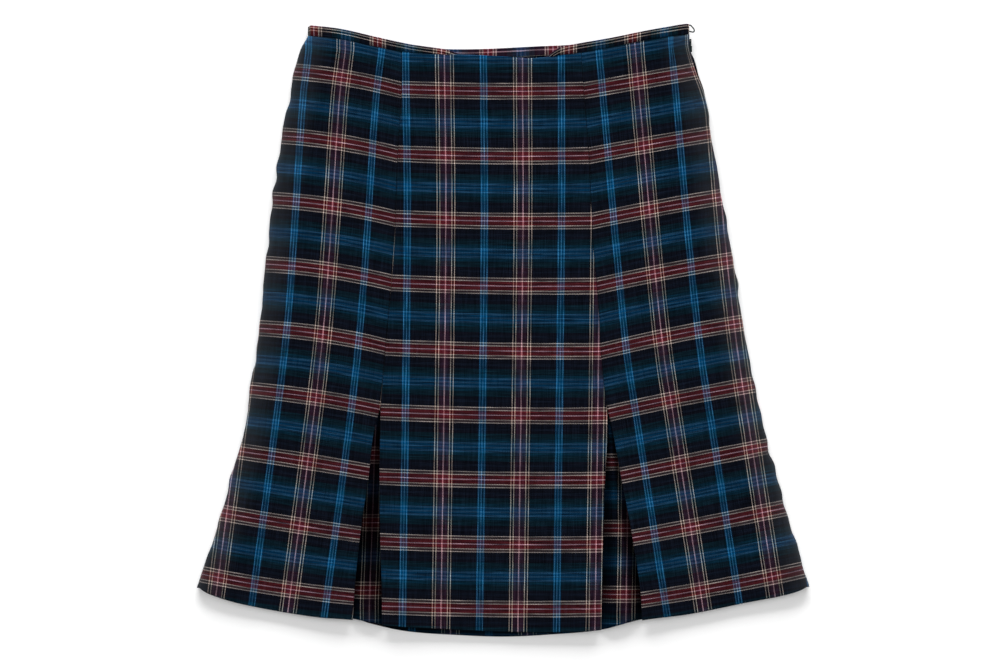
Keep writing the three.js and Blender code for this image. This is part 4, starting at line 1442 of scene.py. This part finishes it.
@dataclass
class Back:
    """The back panel, right side down, rolled up to the side seams, with painted shade on its wrong side."""

    outline: Outline
    cloth: bpy.types.Material
    painted_light_inside: float = 0.45
    row_spacing: float = 4.0
    columns: int = 132
    bands: tuple[BandRow, ...] = (
        BandRow(1, 249.0, 244.0, 250.0),
        BandRow(9, -268.0, -276.0, -267.0),
    )
    leans: tuple[StripeLean, ...] = (StripeLean(280, 24.0, 38.5), StripeLean(-280, 24.0, 38.5))

    def build(self) -> bpy.types.Object:
        """Makes and dresses the panel."""
        outline = self.outline
        shape = PanelShape(outline.right_side, outline.left_back_side, outline.back_seam, outline.back_hem)
        down = rows_down(575.0, self.row_spacing)
        closed = Outline.seam_closed(shape.point(1.0, down)[1])
        panel = PanelCloth(shape, BACK_HEIGHT, up=-1)
        grid = ClothGrid.side_by_side([
            panel.rolled_edge(Edge.LEFT, 1.0, down),
            panel.face(ROLL_RADIUS, ROLL_LENGTH, self.columns, down),
            panel.rolled_edge(Edge.RIGHT, closed, down).mirrored(),
        ])
        cloth = Grain(shape, self.bands, self.leans).cloth(grid.flat)
        made = cloth_wall("back_cloth", grid, cloth, CLOTH_WALL / 2, hem_wall(shape, grid))
        # Painted shade: the back's wrong side takes a lower light share than its right side.
        points = grid.at.shape[0] * grid.at.shape[1]
        light = np.full(len(made.data.vertices), self.painted_light_inside)
        light[:points] = 1.0
        mark_cloth(made, PAINTED_LIGHT_SHARE, light)
        return dress(made, self.cloth, "skirt", "check_cloth", "back")


class BandGrainRow(NamedTuple):
    """Where the weft repeat stands along the back of the band."""

    x: float
    along: float


@dataclass
class Waistband:
    """The narrow band: one strip folded along its top, round the front, right side and back."""

    outline: Outline
    cloth: bpy.types.Material
    spacing: float = 2.4
    turn_steps: int = 12
    front_end: float = 185.4
    back_end: float = 184.0
    corner_drop: float = 1.2
    sinks_under: float = 5.0
    sunk_under: float = 2.2
    sunk_down: float = 1.9
    sunk_in: float = 1.7
    pinch_over: float = 3.0
    stripe_from_fold: float = 3.8
    front_zero: float = -189.4
    front_repeat: float = 63.7
    back_grain: tuple[BandGrainRow, ...] = (
        BandGrainRow(-206, -20.0),
        BandGrainRow(-15.4, -195.0),
        BandGrainRow(49.6, -260.0),
        BandGrainRow(190, -400.4),
    )

    def _stations(self) -> Values:
        """Places along the strip.

        Returns:
            One row a place: x, height, outward x, outward z, seam, band depth, place along the
            warp, and how far the strip's end is pinched shut.
        """
        outline = self.outline
        front_middle = FACE_HEIGHT - LAYER_STEP / 2
        back_middle = BACK_HEIGHT + LAYER_STEP / 2
        turn = (front_middle - back_middle) / 2
        turn_x = float(outline.right_side(FRONT_WAIST[0].seam)) + turn + FOLD_REACH
        repeat = WEFT_REPEAT / self.front_repeat
        back_grain = TableCurve(self.back_grain, "x", "along")

        front_x = np.linspace(self.front_end, turn_x, round((self.front_end - turn_x) / self.spacing))
        lift = Outline.closure_lift(front_x, CLOSURE_LIFTS_OVER_Y[1])
        pinch = 1.0 - ease(0.0, self.pinch_over, self.front_end - front_x)
        front = np.stack([
            front_x, front_middle + lift, 0 * front_x, 0 * front_x + 1, outline.front_seam(front_x),
            outline.front_band(front_x), (front_x - self.front_zero) * repeat, pinch,
        ], -1)

        share = np.linspace(0, 1, self.turn_steps + 1)[1:-1]
        angle = math.pi * share
        drop = self.corner_drop * np.sin(angle)
        end_along = float((turn_x - self.front_zero) * repeat)
        along = mix(end_along, float(back_grain(turn_x)), share)
        round_side = np.stack([
            turn_x - turn * np.sin(angle), (front_middle + back_middle) / 2 + turn * np.cos(angle),
            -np.sin(angle), np.cos(angle),
            mix(outline.front_seam(turn_x), outline.back_seam(turn_x), share),
            mix(outline.front_band(turn_x), outline.back_band(turn_x), share) - drop,
            along, 0 * share,
        ], -1)

        back_x = np.linspace(turn_x, self.back_end, round((self.back_end - turn_x) / self.spacing))
        back_pinch = 1.0 - ease(0.0, self.pinch_over, self.back_end - back_x)
        back = np.stack([
            back_x, 0 * back_x + back_middle, 0 * back_x, 0 * back_x - 1, outline.back_seam(back_x),
            outline.back_band(back_x), back_grain(back_x), back_pinch,
        ], -1)
        return np.concatenate([front, round_side, back])

    def build(self) -> bpy.types.Object:
        """Makes and dresses the band."""
        x, z, out_x, out_z, seam, band, along, pinch = (value[:, None] for value in self._stations().T)
        half_gap = mix(FOLD_RADIUS, CLOTH_WALL / 2 + 0.03, pinch)
        fold_centre = seam + band - FOLD_REACH
        leg = np.array([0.0, 0.08, 0.2, 0.45, 0.7, 0.9])
        angle = np.linspace(0, math.pi, FOLD_STEPS + 1)
        inner_leg = np.array([0.1, 0.3, 0.55, 0.8, 0.95, 1.0])
        seam_dip = np.array([0.45, 0.2, 0.05, 0.0, 0.0, 0.0])
        outside_y = mix(seam + SEAM_GAP, fold_centre, leg)
        fold_y = fold_centre + FOLD_RADIUS * np.sin(angle)
        inside_y = fold_centre - (BAND_DEPTH - FOLD_REACH) * inner_leg
        y = np.concatenate([outside_y, fold_y, inside_y], 1)
        ones = np.ones_like(leg)
        off = np.concatenate([ones - seam_dip, np.cos(angle), -ones])
        rise = np.concatenate([0 * leg, np.sin(angle), 0 * leg])
        facing = np.concatenate([ones, np.cos(angle), -ones])
        distance = np.concatenate([
            fold_centre - outside_y + math.pi / 2 * FOLD_RADIUS,
            np.broadcast_to(FOLD_RADIUS * (math.pi / 2 - angle), fold_y.shape),
            inside_y - fold_centre - math.pi / 2 * FOLD_RADIUS,
        ], 1)
        at = np.stack([x + out_x * half_gap * off, y, z + out_z * half_gap * off], -1)
        out = np.stack(np.broadcast_arrays(out_x * facing, rise, out_z * facing), -1)
        unrolled = np.stack(np.broadcast_arrays(along, distance), -1)
        sunk = ease(self.sinks_under, self.sunk_under, band) * ease(0.5, 1.0, z / FACE_HEIGHT)
        at[..., 1] -= self.sunk_down * sunk
        at[..., 2] -= self.sunk_in * sunk
        uneven = Unevenness((16.0, 30.0), 51)(at[..., 0], at[..., 1] + 40.0 * out[..., 2])
        at[..., 2] += 0.12 * uneven * np.abs(out_z)
        grid = ClothGrid(at, out, unrolled, np.ones(y.shape))
        cloth = np.stack(np.broadcast_arrays(self.stripe_from_fold + distance, along), -1)
        made = cloth_wall("waistband_cloth", grid, cloth, CLOTH_WALL / 2, CLOTH_WALL / 2)
        return dress(made, self.cloth, "skirt", "check_cloth", "waistband")


# ---------------------------------------------------------------- hard pieces


def joined_tubes(
    name: str, routes: Sequence[Values], radius: float, sides: int, closed: bool = False,
) -> bpy.types.Object:
    """Makes round tubes along routes as one object.

    Args:
        name: name of the object.
        routes: points of each tube's middle line.
        radius: radius of the tubes.
        sides: sides of their section.
        closed: whether each route runs back to its start.

    Returns:
        The object.
    """
    points, faces, used = [], [], 0
    turn = np.linspace(0, 2 * math.pi, sides, endpoint=False)
    for route in routes:
        count = len(route)
        if closed:
            run = np.roll(route, -1, 0) - np.roll(route, 1, 0)
        else:
            run = np.gradient(route, axis=0)
        run = run / np.linalg.norm(run, axis=1, keepdims=True)
        side = np.cross(run[0], [0.31, 0.17, 0.93])
        sections = []
        for middle, along in zip(route, run, strict=True):
            side = side - along * side.dot(along)
            side = side / np.linalg.norm(side)
            up = np.cross(along, side)
            sections.append(middle + radius * (np.outer(np.cos(turn), side) + np.outer(np.sin(turn), up)))
        points.append(np.concatenate(sections))
        for section in range(count if closed else count - 1):
            here = used + section * sides
            there = used + ((section + 1) % count) * sides
            for corner in range(sides):
                after = (corner + 1) % sides
                faces.append((here + corner, here + after, there + after, there + corner))
        if not closed:
            faces.append(tuple(used + corner for corner in range(sides))[::-1])
            faces.append(tuple(used + (count - 1) * sides + corner for corner in range(sides)))
        used += count * sides
    return object_from(name, np.concatenate(points), faces)


def smooth_route(points: Sequence[Sequence[float]], per_span: int = 8) -> Values:
    """A centripetal Catmull-Rom route through the given points."""
    given = np.array(points, float)
    given = np.concatenate([[2 * given[0] - given[1]], given, [2 * given[-1] - given[-2]]])
    route = []
    for before, start, end, after in zip(given, given[1:], given[2:], given[3:], strict=False):
        knots = [0.0]
        for first, second in ((before, start), (start, end), (end, after)):
            knots.append(knots[-1] + math.sqrt(float(np.linalg.norm(second - first))))
        for at in np.linspace(knots[1], knots[2], per_span, endpoint=False):
            lines = [
                mix(first, second, (at - low) / (high - low))
                for first, second, low, high in (
                    (before, start, knots[0], knots[1]),
                    (start, end, knots[1], knots[2]),
                    (end, after, knots[2], knots[3]),
                )
            ]
            low_curve = mix(lines[0], lines[1], (at - knots[0]) / (knots[2] - knots[0]))
            high_curve = mix(lines[1], lines[2], (at - knots[1]) / (knots[3] - knots[1]))
            route.append(mix(low_curve, high_curve, (at - knots[1]) / (knots[2] - knots[1])))
    route.append(given[-2])
    return np.array(route)


class Plate(NamedTuple):
    """An upright plate: its outline in y and z, and where it starts and ends in x."""

    outline: tuple[tuple[float, float], ...]
    start: float
    end: float


def bevelled_plates(name: str, plates: Sequence[Plate], bevel: float) -> bpy.types.Object:
    """Makes plates with rounded edges as one object.

    Args:
        name: name of the object.
        plates: the plates.
        bevel: radius of their edges.

    Returns:
        The object.
    """
    work = bmesh.new()
    for plate in plates:
        low = [work.verts.new((plate.start * MM, y * MM, z * MM)) for y, z in plate.outline]
        high = [work.verts.new((plate.end * MM, y * MM, z * MM)) for y, z in plate.outline]
        work.faces.new(low)
        work.faces.new(high[::-1])
        for number in range(len(low)):
            after = (number + 1) % len(low)
            work.faces.new((low[number], high[number], high[after], low[after]))
    bmesh.ops.recalc_face_normals(work, faces=work.faces[:])
    bmesh.ops.bevel(
        work, geom=work.edges[:], offset=bevel * MM, segments=BEVEL_SEGMENTS, affect="EDGES", profile=0.5,
        clamp_overlap=True,
    )
    mesh = bpy.data.meshes.new(name)
    work.to_mesh(mesh)
    work.free()
    mesh.shade_smooth()
    made = bpy.data.objects.new(name, mesh)
    bpy.context.scene.collection.objects.link(made)
    return made


def oblong(from_y: float, to_y: float, from_z: float, to_z: float) -> tuple[tuple[float, float], ...]:
    """Outline of an upright oblong."""
    return ((from_y, from_z), (to_y, from_z), (to_y, to_z), (from_y, to_z))


@dataclass
class SideZip:
    """The side zip: two tapes, the closed coil between them, the slider and its pull."""

    outline: Outline
    finishes: Finishes
    top: float = 292.0
    bottom: float = ZIP_BOTTOM
    tape_wall: float = 0.5
    tape_width: float = 16.0
    tape_inset: float = 2.6
    tape_clearance: float = 0.05
    front_sag: float = 0.9
    front_gap: float = 0.5
    coil_clear_at: float = 7.0
    coil_full_at: float = 3.5
    coil_inset: float = 1.3
    coil_width: float = 3.0
    coil_low: float = 1.2
    coil_high: float = 4.5
    coil_pitch: float = 1.3
    coil_wire: float = 0.3
    coil_overlap: float = 0.62
    coil_skew: float = 0.12
    coil_below_slider: float = 0.6
    slider_top: float = 292.2
    slider_bottom: float = 284.3
    slider_inner: float = 182.3
    slider_outer: float = 185.5
    slider_low: float = 1.5
    slider_high: float = 5.4
    slider_wall: float = 0.8
    slider_taper: float = 0.5
    slider_mouth: float = 2.0
    bridge_out: float = 188.0
    bridge_top: float = 291.3
    bridge_bottom: float = 285.6
    bridge_wide: float = 1.2
    bridge_bar: float = 0.9
    bridge_foot: float = 1.2
    bridge_top_foot: float = 1.5
    pin_x: float = 186.3
    pin_y: float = 289.2
    pin: float = 0.8
    pull_width: float = 3.6
    pull_end: float = 278.3
    arm_out: float = 1.5
    arm_below_pin: float = 0.3
    arm_end_step: float = 0.04
    arm_in_grip: float = 1.0
    slider_bevel: float = 0.2
    pull_bevel: float = 0.22
    window_end: float = 285.0
    window_play: float = 0.35
    grip_from: float = 284.4
    grip_low: float = -0.5
    grip_high: float = 2.3
    grip_corner: float = 1.1
    grip_edge: float = 0.3

    @property
    def middle(self) -> float:
        """Height of the slider's middle."""
        return (self.slider_low + self.slider_high) / 2

    def build(self) -> list[bpy.types.Object]:
        """Makes and dresses the zip's pieces."""
        return [*self._tapes(), self._coil(), self._slider(), self._pull()]

    def _tapes(self) -> list[bpy.types.Object]:
        """The two tapes, one against the front and one against the back."""
        made = []
        y = np.linspace(self.top, self.bottom, 70)[:, None]
        outer_x = self.outline.left_side(y) - self.tape_inset
        x = outer_x - np.linspace(self.tape_width, 0, 12)
        half_wall = self.tape_wall / 2
        offset = CLOTH_WALL / 2 + self.tape_clearance + half_wall
        seam_x = self.outline.left_seam_side(y)
        share = (x - seam_x) / (self.outline.left_side(y) - seam_x)
        under_front = FACE_HEIGHT - self.front_sag * np.sin(math.pi * share) ** 2 - self.front_gap - offset
        under_front = under_front + Outline.closure_lift(x, y)
        over_coil = ease(self.coil_clear_at, self.coil_full_at, outer_x - x + self.tape_inset)
        for side, height, at_coil in (
            ("front", under_front, self.coil_high + half_wall),
            ("back", 0 * x + BACK_HEIGHT + offset, self.coil_low - half_wall),
        ):
            lift = Outline.closure_lift(x, y) if side == "front" else 0.0
            z = mix(height, at_coil + lift, over_coil)
            grid = ClothGrid.of(x, y, z, 0.0, 1.0, x)
            unrolled = np.stack(np.broadcast_arrays(outer_x - x, y), -1)
            piece = cloth_wall(f"zip_tape_{side}_weave", grid, unrolled, half_wall, half_wall)
            made.append(dress(piece, self.finishes.tape, "skirt", "zip_tape", f"zip_tape_{side}"))
        return made

    def _coil(self) -> bpy.types.Object:
        """The closed coil: loops from each tape that lie between each other."""
        heights = np.arange(self.slider_bottom - self.coil_below_slider, self.bottom, -self.coil_pitch / 2)
        turn = np.linspace(0, 2 * math.pi, 14, endpoint=False)
        reach = (self.coil_high - self.coil_low) * self.coil_overlap
        routes = []
        for number, y in enumerate(heights):
            from_front = number % 2 == 0
            centre_z = self.coil_high - reach / 2 if from_front else self.coil_low + reach / 2
            centre_x = float(self.outline.left_side(y)) - self.coil_inset - self.coil_width / 2
            loop_x = centre_x + (self.coil_width / 2 - self.coil_wire) * np.cos(turn)
            loop_z = centre_z + (reach / 2 - self.coil_wire) * np.sin(turn)
            loop_y = y + self.coil_skew * np.cos(turn)
            routes.append(np.stack([loop_x, loop_y, loop_z], -1))
        made = joined_tubes("zip_coil", routes, self.coil_wire, 7, closed=True)
        return dress(made, self.finishes.coil, "skirt", "zip_teeth", "zip_chain")

    def _slider(self) -> bpy.types.Object:
        """The slider: two wedge plates with flanges, a divider and the bridge for the pull."""
        low, high, taper = self.slider_low, self.slider_high, self.slider_taper
        wedge = (
            (self.slider_bottom, low + taper),
            (self.slider_top - self.slider_mouth, low),
            (self.slider_top, low),
            (self.slider_top, high),
            (self.slider_top - self.slider_mouth, high),
            (self.slider_bottom, high - taper),
        )
        flange_end = self.slider_top - self.slider_mouth
        low_flange = ((self.slider_bottom, low + taper), (flange_end, low), (flange_end, low + 0.5),
                      (self.slider_bottom, low + taper + 0.5))
        high_flange = tuple((y, low + high - z) for y, z in low_flange)
        divider = oblong(flange_end - 1.6, self.slider_top - 0.4, self.middle - 0.5, self.middle + 0.5)
        bridge_low, bridge_high = self.middle - self.bridge_wide / 2, self.middle + self.bridge_wide / 2
        inner, outer, wall = self.slider_inner, self.slider_outer, self.slider_wall
        sunk = outer - 0.3
        plates = [
            Plate(wedge, inner, inner + wall),
            Plate(wedge, outer - wall, outer),
            Plate(low_flange, inner + 0.1, outer - 0.1),
            Plate(high_flange, inner + 0.1, outer - 0.1),
            Plate(divider, inner + 0.1, outer - 0.1),
            Plate(oblong(self.bridge_bottom, self.bridge_top, bridge_low, bridge_high),
                  self.bridge_out - self.bridge_bar, self.bridge_out),
            Plate(oblong(self.bridge_bottom, self.bridge_bottom + self.bridge_foot, bridge_low, bridge_high),
                  sunk, self.bridge_out),
            Plate(oblong(self.bridge_top - self.bridge_top_foot, self.bridge_top, bridge_low, bridge_high),
                  sunk, self.bridge_out),
        ]
        made = bevelled_plates("zip_slider_metal", plates, self.slider_bevel)
        return dress(made, self.finishes.metal, "skirt", "black_metal", "zip_slider")

    def _pull(self) -> bpy.types.Object:
        """The pull tab: a pin under the bridge, two arms beside it and a moulded grip."""
        low, high = self.middle - self.pull_width / 2, self.middle + self.pull_width / 2
        window = self.bridge_wide / 2 + self.window_play
        window_low, window_high = self.middle - window, self.middle + window
        half = self.pin / 2
        from_x, to_x, arm_x = self.pin_x - half, self.pin_x + half, self.pin_x + self.arm_out
        corner, end, start = self.grip_corner, self.pull_end, self.grip_from
        in_grip = start - self.arm_in_grip
        grip = (
            (end, low + corner), (end + 0.3 * corner, low + 0.3 * corner), (end + corner, low),
            (start - self.grip_edge, low), (start, low + self.grip_edge),
            (start, high - self.grip_edge), (start - self.grip_edge, high),
            (end + corner, high), (end + 0.3 * corner, high - 0.3 * corner), (end, high - corner),
        )
        wide_to, arm_end, step = self.pin_y - self.arm_below_pin, self.pin_y + half, self.arm_end_step
        plates = [
            Plate(oblong(in_grip, wide_to, low, window_low), from_x, arm_x),
            Plate(oblong(in_grip, wide_to, window_high, high), from_x, arm_x),
            Plate(oblong(wide_to - half, arm_end, low + step, window_low - step), from_x + step, to_x),
            Plate(oblong(wide_to - half, arm_end, window_high + step, high - step), from_x + step, to_x),
            Plate(oblong(self.pin_y - half, self.pin_y + half, low + 0.1, high - 0.1), from_x, to_x),
            Plate(oblong(in_grip, self.window_end, low + 0.1, high - 0.1), from_x, to_x),
            Plate(grip, self.pin_x + self.grip_low, self.pin_x + self.grip_high),
        ]
        made = bevelled_plates("zip_pull_metal", plates, self.pull_bevel)
        return dress(made, self.finishes.metal, "pull_tab", "black_metal", "zip_pull")


@dataclass
class HookAndEye:
    """The wire eye under the band's front end, the hook on its back end, and their sewing."""

    finishes: Finishes
    wire: float = 0.8
    eye_wire: float = 1.3
    wire_sides: int = 12
    ring: float = 0.85
    thread: float = 0.26
    thread_sides: int = 6
    stitch_out: float = 0.72
    stitch_up: float = 0.6
    eye_height: float = 5.35
    hook_height: float = 2.55
    eye_ring_x: float = 177.4
    eye_upper: float = 304.2
    eye_lower: float = 299.0
    eye_loop: tuple[tuple[float, float], ...] = (
        (178.4, 304.2), (184.0, 304.8), (186.6, 305.0), (189.4, 302.4), (190.8, 299.8), (190.0, 298.2),
        (187.6, 298.4), (185.2, 299.0), (178.4, 299.0),
    )
    hook_ring_x: float = 165.0
    hook_nose_x: float = 173.6
    hook_nose_bend: float = 0.6
    hook_bill_x: float = 169.0
    hook_bill_bend: float = 0.8
    hook_middle: float = 299.6
    hook_half: float = 0.75

    def _ring(self, centre_x: float, leg_y: float, side: int, z: float) -> list[tuple[float, float, float]]:
        """Points of a sewing ring that starts or ends a wire."""
        points = []
        for share in (0.14, 0.32, 0.5, 0.68, 0.86):
            angle = share * 2 * math.pi
            aside = self.ring * (1 - math.cos(angle))
            points.append((centre_x - self.ring * math.sin(angle), leg_y - side * aside, z))
        return points

    def _stitches(self, centre_x: float, leg_y: float, side: int, z: float) -> list[Values]:
        """Thread loops over one sewing ring."""
        turn = np.linspace(0, 2 * math.pi, 12, endpoint=False)
        routes = []
        for share in (0.3, 0.42, 0.54, 0.66):
            angle = share * 2 * math.pi
            away = np.array([-math.sin(angle), side * math.cos(angle), 0.0])
            middle = np.array([centre_x, leg_y - side * self.ring, z]) + self.ring * away
            out = self.stitch_out * np.outer(np.cos(turn), away)
            up = self.stitch_up * np.outer(np.sin(turn), [0, 0, 1])
            routes.append(middle + out + up)
        return routes

    def build(self) -> list[bpy.types.Object]:
        """Makes and dresses the eye, the hook and the thread."""
        eye = smooth_route([
            *self._ring(self.eye_ring_x, self.eye_upper, 1, self.eye_height)[::-1],
            *((x, y, self.eye_height) for x, y in self.eye_loop),
            *self._ring(self.eye_ring_x, self.eye_lower, -1, self.eye_height),
        ])
        bill_height = self.hook_height + self.wire + 0.3
        nose_height = (self.hook_height + bill_height) / 2

        def leg(side: int) -> list[tuple[float, float, float]]:
            """Points of one leg, from its ring to the bill."""
            y = self.hook_middle + side * self.hook_half
            return [
                *self._ring(self.hook_ring_x, y, -side, self.hook_height)[::-1],
                (self.hook_ring_x + 1.0, y, self.hook_height),
                (self.hook_nose_x - self.hook_nose_bend, y, self.hook_height),
                (self.hook_nose_x, y, nose_height),
                (self.hook_nose_x - self.hook_nose_bend, y, bill_height),
                (self.hook_bill_x + self.hook_bill_bend, y, bill_height),
            ]

        hook = smooth_route([*leg(1), (self.hook_bill_x, self.hook_middle, bill_height), *leg(-1)[::-1]])
        stitches = [
            *self._stitches(self.eye_ring_x, self.eye_upper, 1, self.eye_height),
            *self._stitches(self.eye_ring_x, self.eye_lower, -1, self.eye_height),
            *self._stitches(self.hook_ring_x, self.hook_middle + self.hook_half, -1, self.hook_height),
            *self._stitches(self.hook_ring_x, self.hook_middle - self.hook_half, 1, self.hook_height),
        ]
        metal, thread = self.finishes.metal, self.finishes.thread
        return [
            dress(
                joined_tubes("waist_eye_wire", [eye], self.eye_wire / 2, self.wire_sides),
                metal, "skirt", "black_metal", "waist_eye",
            ),
            dress(
                joined_tubes("waist_hook_wire", [hook], self.wire / 2, self.wire_sides),
                metal, "skirt", "black_metal", "waist_hook",
            ),
            dress(
                joined_tubes("closure_stitches", stitches, self.thread / 2, self.thread_sides, closed=True),
                thread, "skirt", "zip_tape",
            ),
        ]


# ---------------------------------------------------------------- studio


class Lamp(NamedTuple):
    """A soft lamp: its place and size in metres, and its power in watts."""

    name: str
    place: tuple[float, float, float]
    size: tuple[float, float]
    power: float


@dataclass
class Studio:
    """A pale floor, soft lamps and a camera straight above the skirt."""

    floor_side: float = 12.0
    floor_drop: float = 0.0001
    floor_share: float = 0.92
    fill: float = 0.406
    lens: float = 100.0
    sensor: float = 36.0
    camera_height: float = 2.804
    aim: tuple[float, float] = (0.0006, -0.0057)
    lamps: tuple[Lamp, ...] = (
        Lamp("overhead", (0.0, 0.3, 3.4), (3.0, 3.0), 14.7),
        Lamp("waist_side", (0.0, 8.0, 1.8), (8.0, 3.0), 1985.0),
        Lamp("right_side", (-2.4, 0.3, 1.0), (1.6, 1.2), 21.4),
        Lamp("left_side", (2.4, 0.3, 1.0), (1.6, 1.2), 21.4),
    )

    def build(self) -> None:
        """Makes the floor, lamps, soft surround and camera."""
        self._floor()
        for lamp in self.lamps:
            self._lamp(lamp)
        world = bpy.data.worlds.new("soft_surround")
        world.use_nodes = True
        world.node_tree.nodes["Background"].inputs["Color"].default_value = (1.0, 1.0, 1.0, 1.0)
        world.node_tree.nodes["Background"].inputs["Strength"].default_value = self.fill
        bpy.context.scene.world = world
        bpy.context.scene.view_settings.view_transform = "Standard"
        self._camera()

    def _floor(self) -> None:
        """The plain pale floor."""
        half = self.floor_side / 2 / MM
        low = -self.floor_drop / MM
        corners = np.array([(-half, -half, low), (half, -half, low), (half, half, low), (-half, half, low)])
        floor = object_from("floor", corners, [(0, 1, 2, 3)])
        board = NodeBoard("pale_floor")
        shader = board.node("ShaderNodeBsdfPrincipled", {
            "Base Color": (self.floor_share, self.floor_share, self.floor_share, 1.0),
            "Roughness": 0.9,
            "Specular IOR Level": 0.1,
        })
        floor.data.materials.append(board.finish(shader))

    def _lamp(self, lamp: Lamp) -> None:
        """One soft lamp aimed at the skirt."""
        light = bpy.data.lights.new(lamp.name, "AREA")
        light.shape = "RECTANGLE"
        light.size, light.size_y = lamp.size
        light.energy = lamp.power
        made = bpy.data.objects.new(lamp.name, light)
        made.location = lamp.place
        made.rotation_euler = (-Vector(lamp.place)).to_track_quat("-Z", "Y").to_euler()
        bpy.context.scene.collection.objects.link(made)

    def _camera(self) -> None:
        """The camera straight above the skirt."""
        camera = bpy.data.cameras.new("above")
        camera.lens = self.lens
        camera.sensor_width = self.sensor
        made = bpy.data.objects.new("above", camera)
        made.location = (*self.aim, self.camera_height)
        bpy.context.scene.collection.objects.link(made)
        bpy.context.scene.camera = made


# ---------------------------------------------------------------- the whole


def main() -> None:
    """Builds the skirt's pieces in order."""
    logging.basicConfig(level=logging.INFO, format="%(name)s %(message)s")
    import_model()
    outline = Outline()
    finishes = Finishes()
    Studio().build()
    Back(outline, finishes.cloth_painted_shade).build()
    for side in Side:
        PleatUnderlay(outline, finishes.cloth_painted_shade, side).build()
        SideFront(outline, finishes.cloth, side).build()
    CentreFront(outline, finishes.cloth).build()
    Waistband(outline, finishes.cloth).build()
    SideZip(outline, finishes).build()
    HookAndEye(finishes).build()


if __name__ == "__main__":
    main()
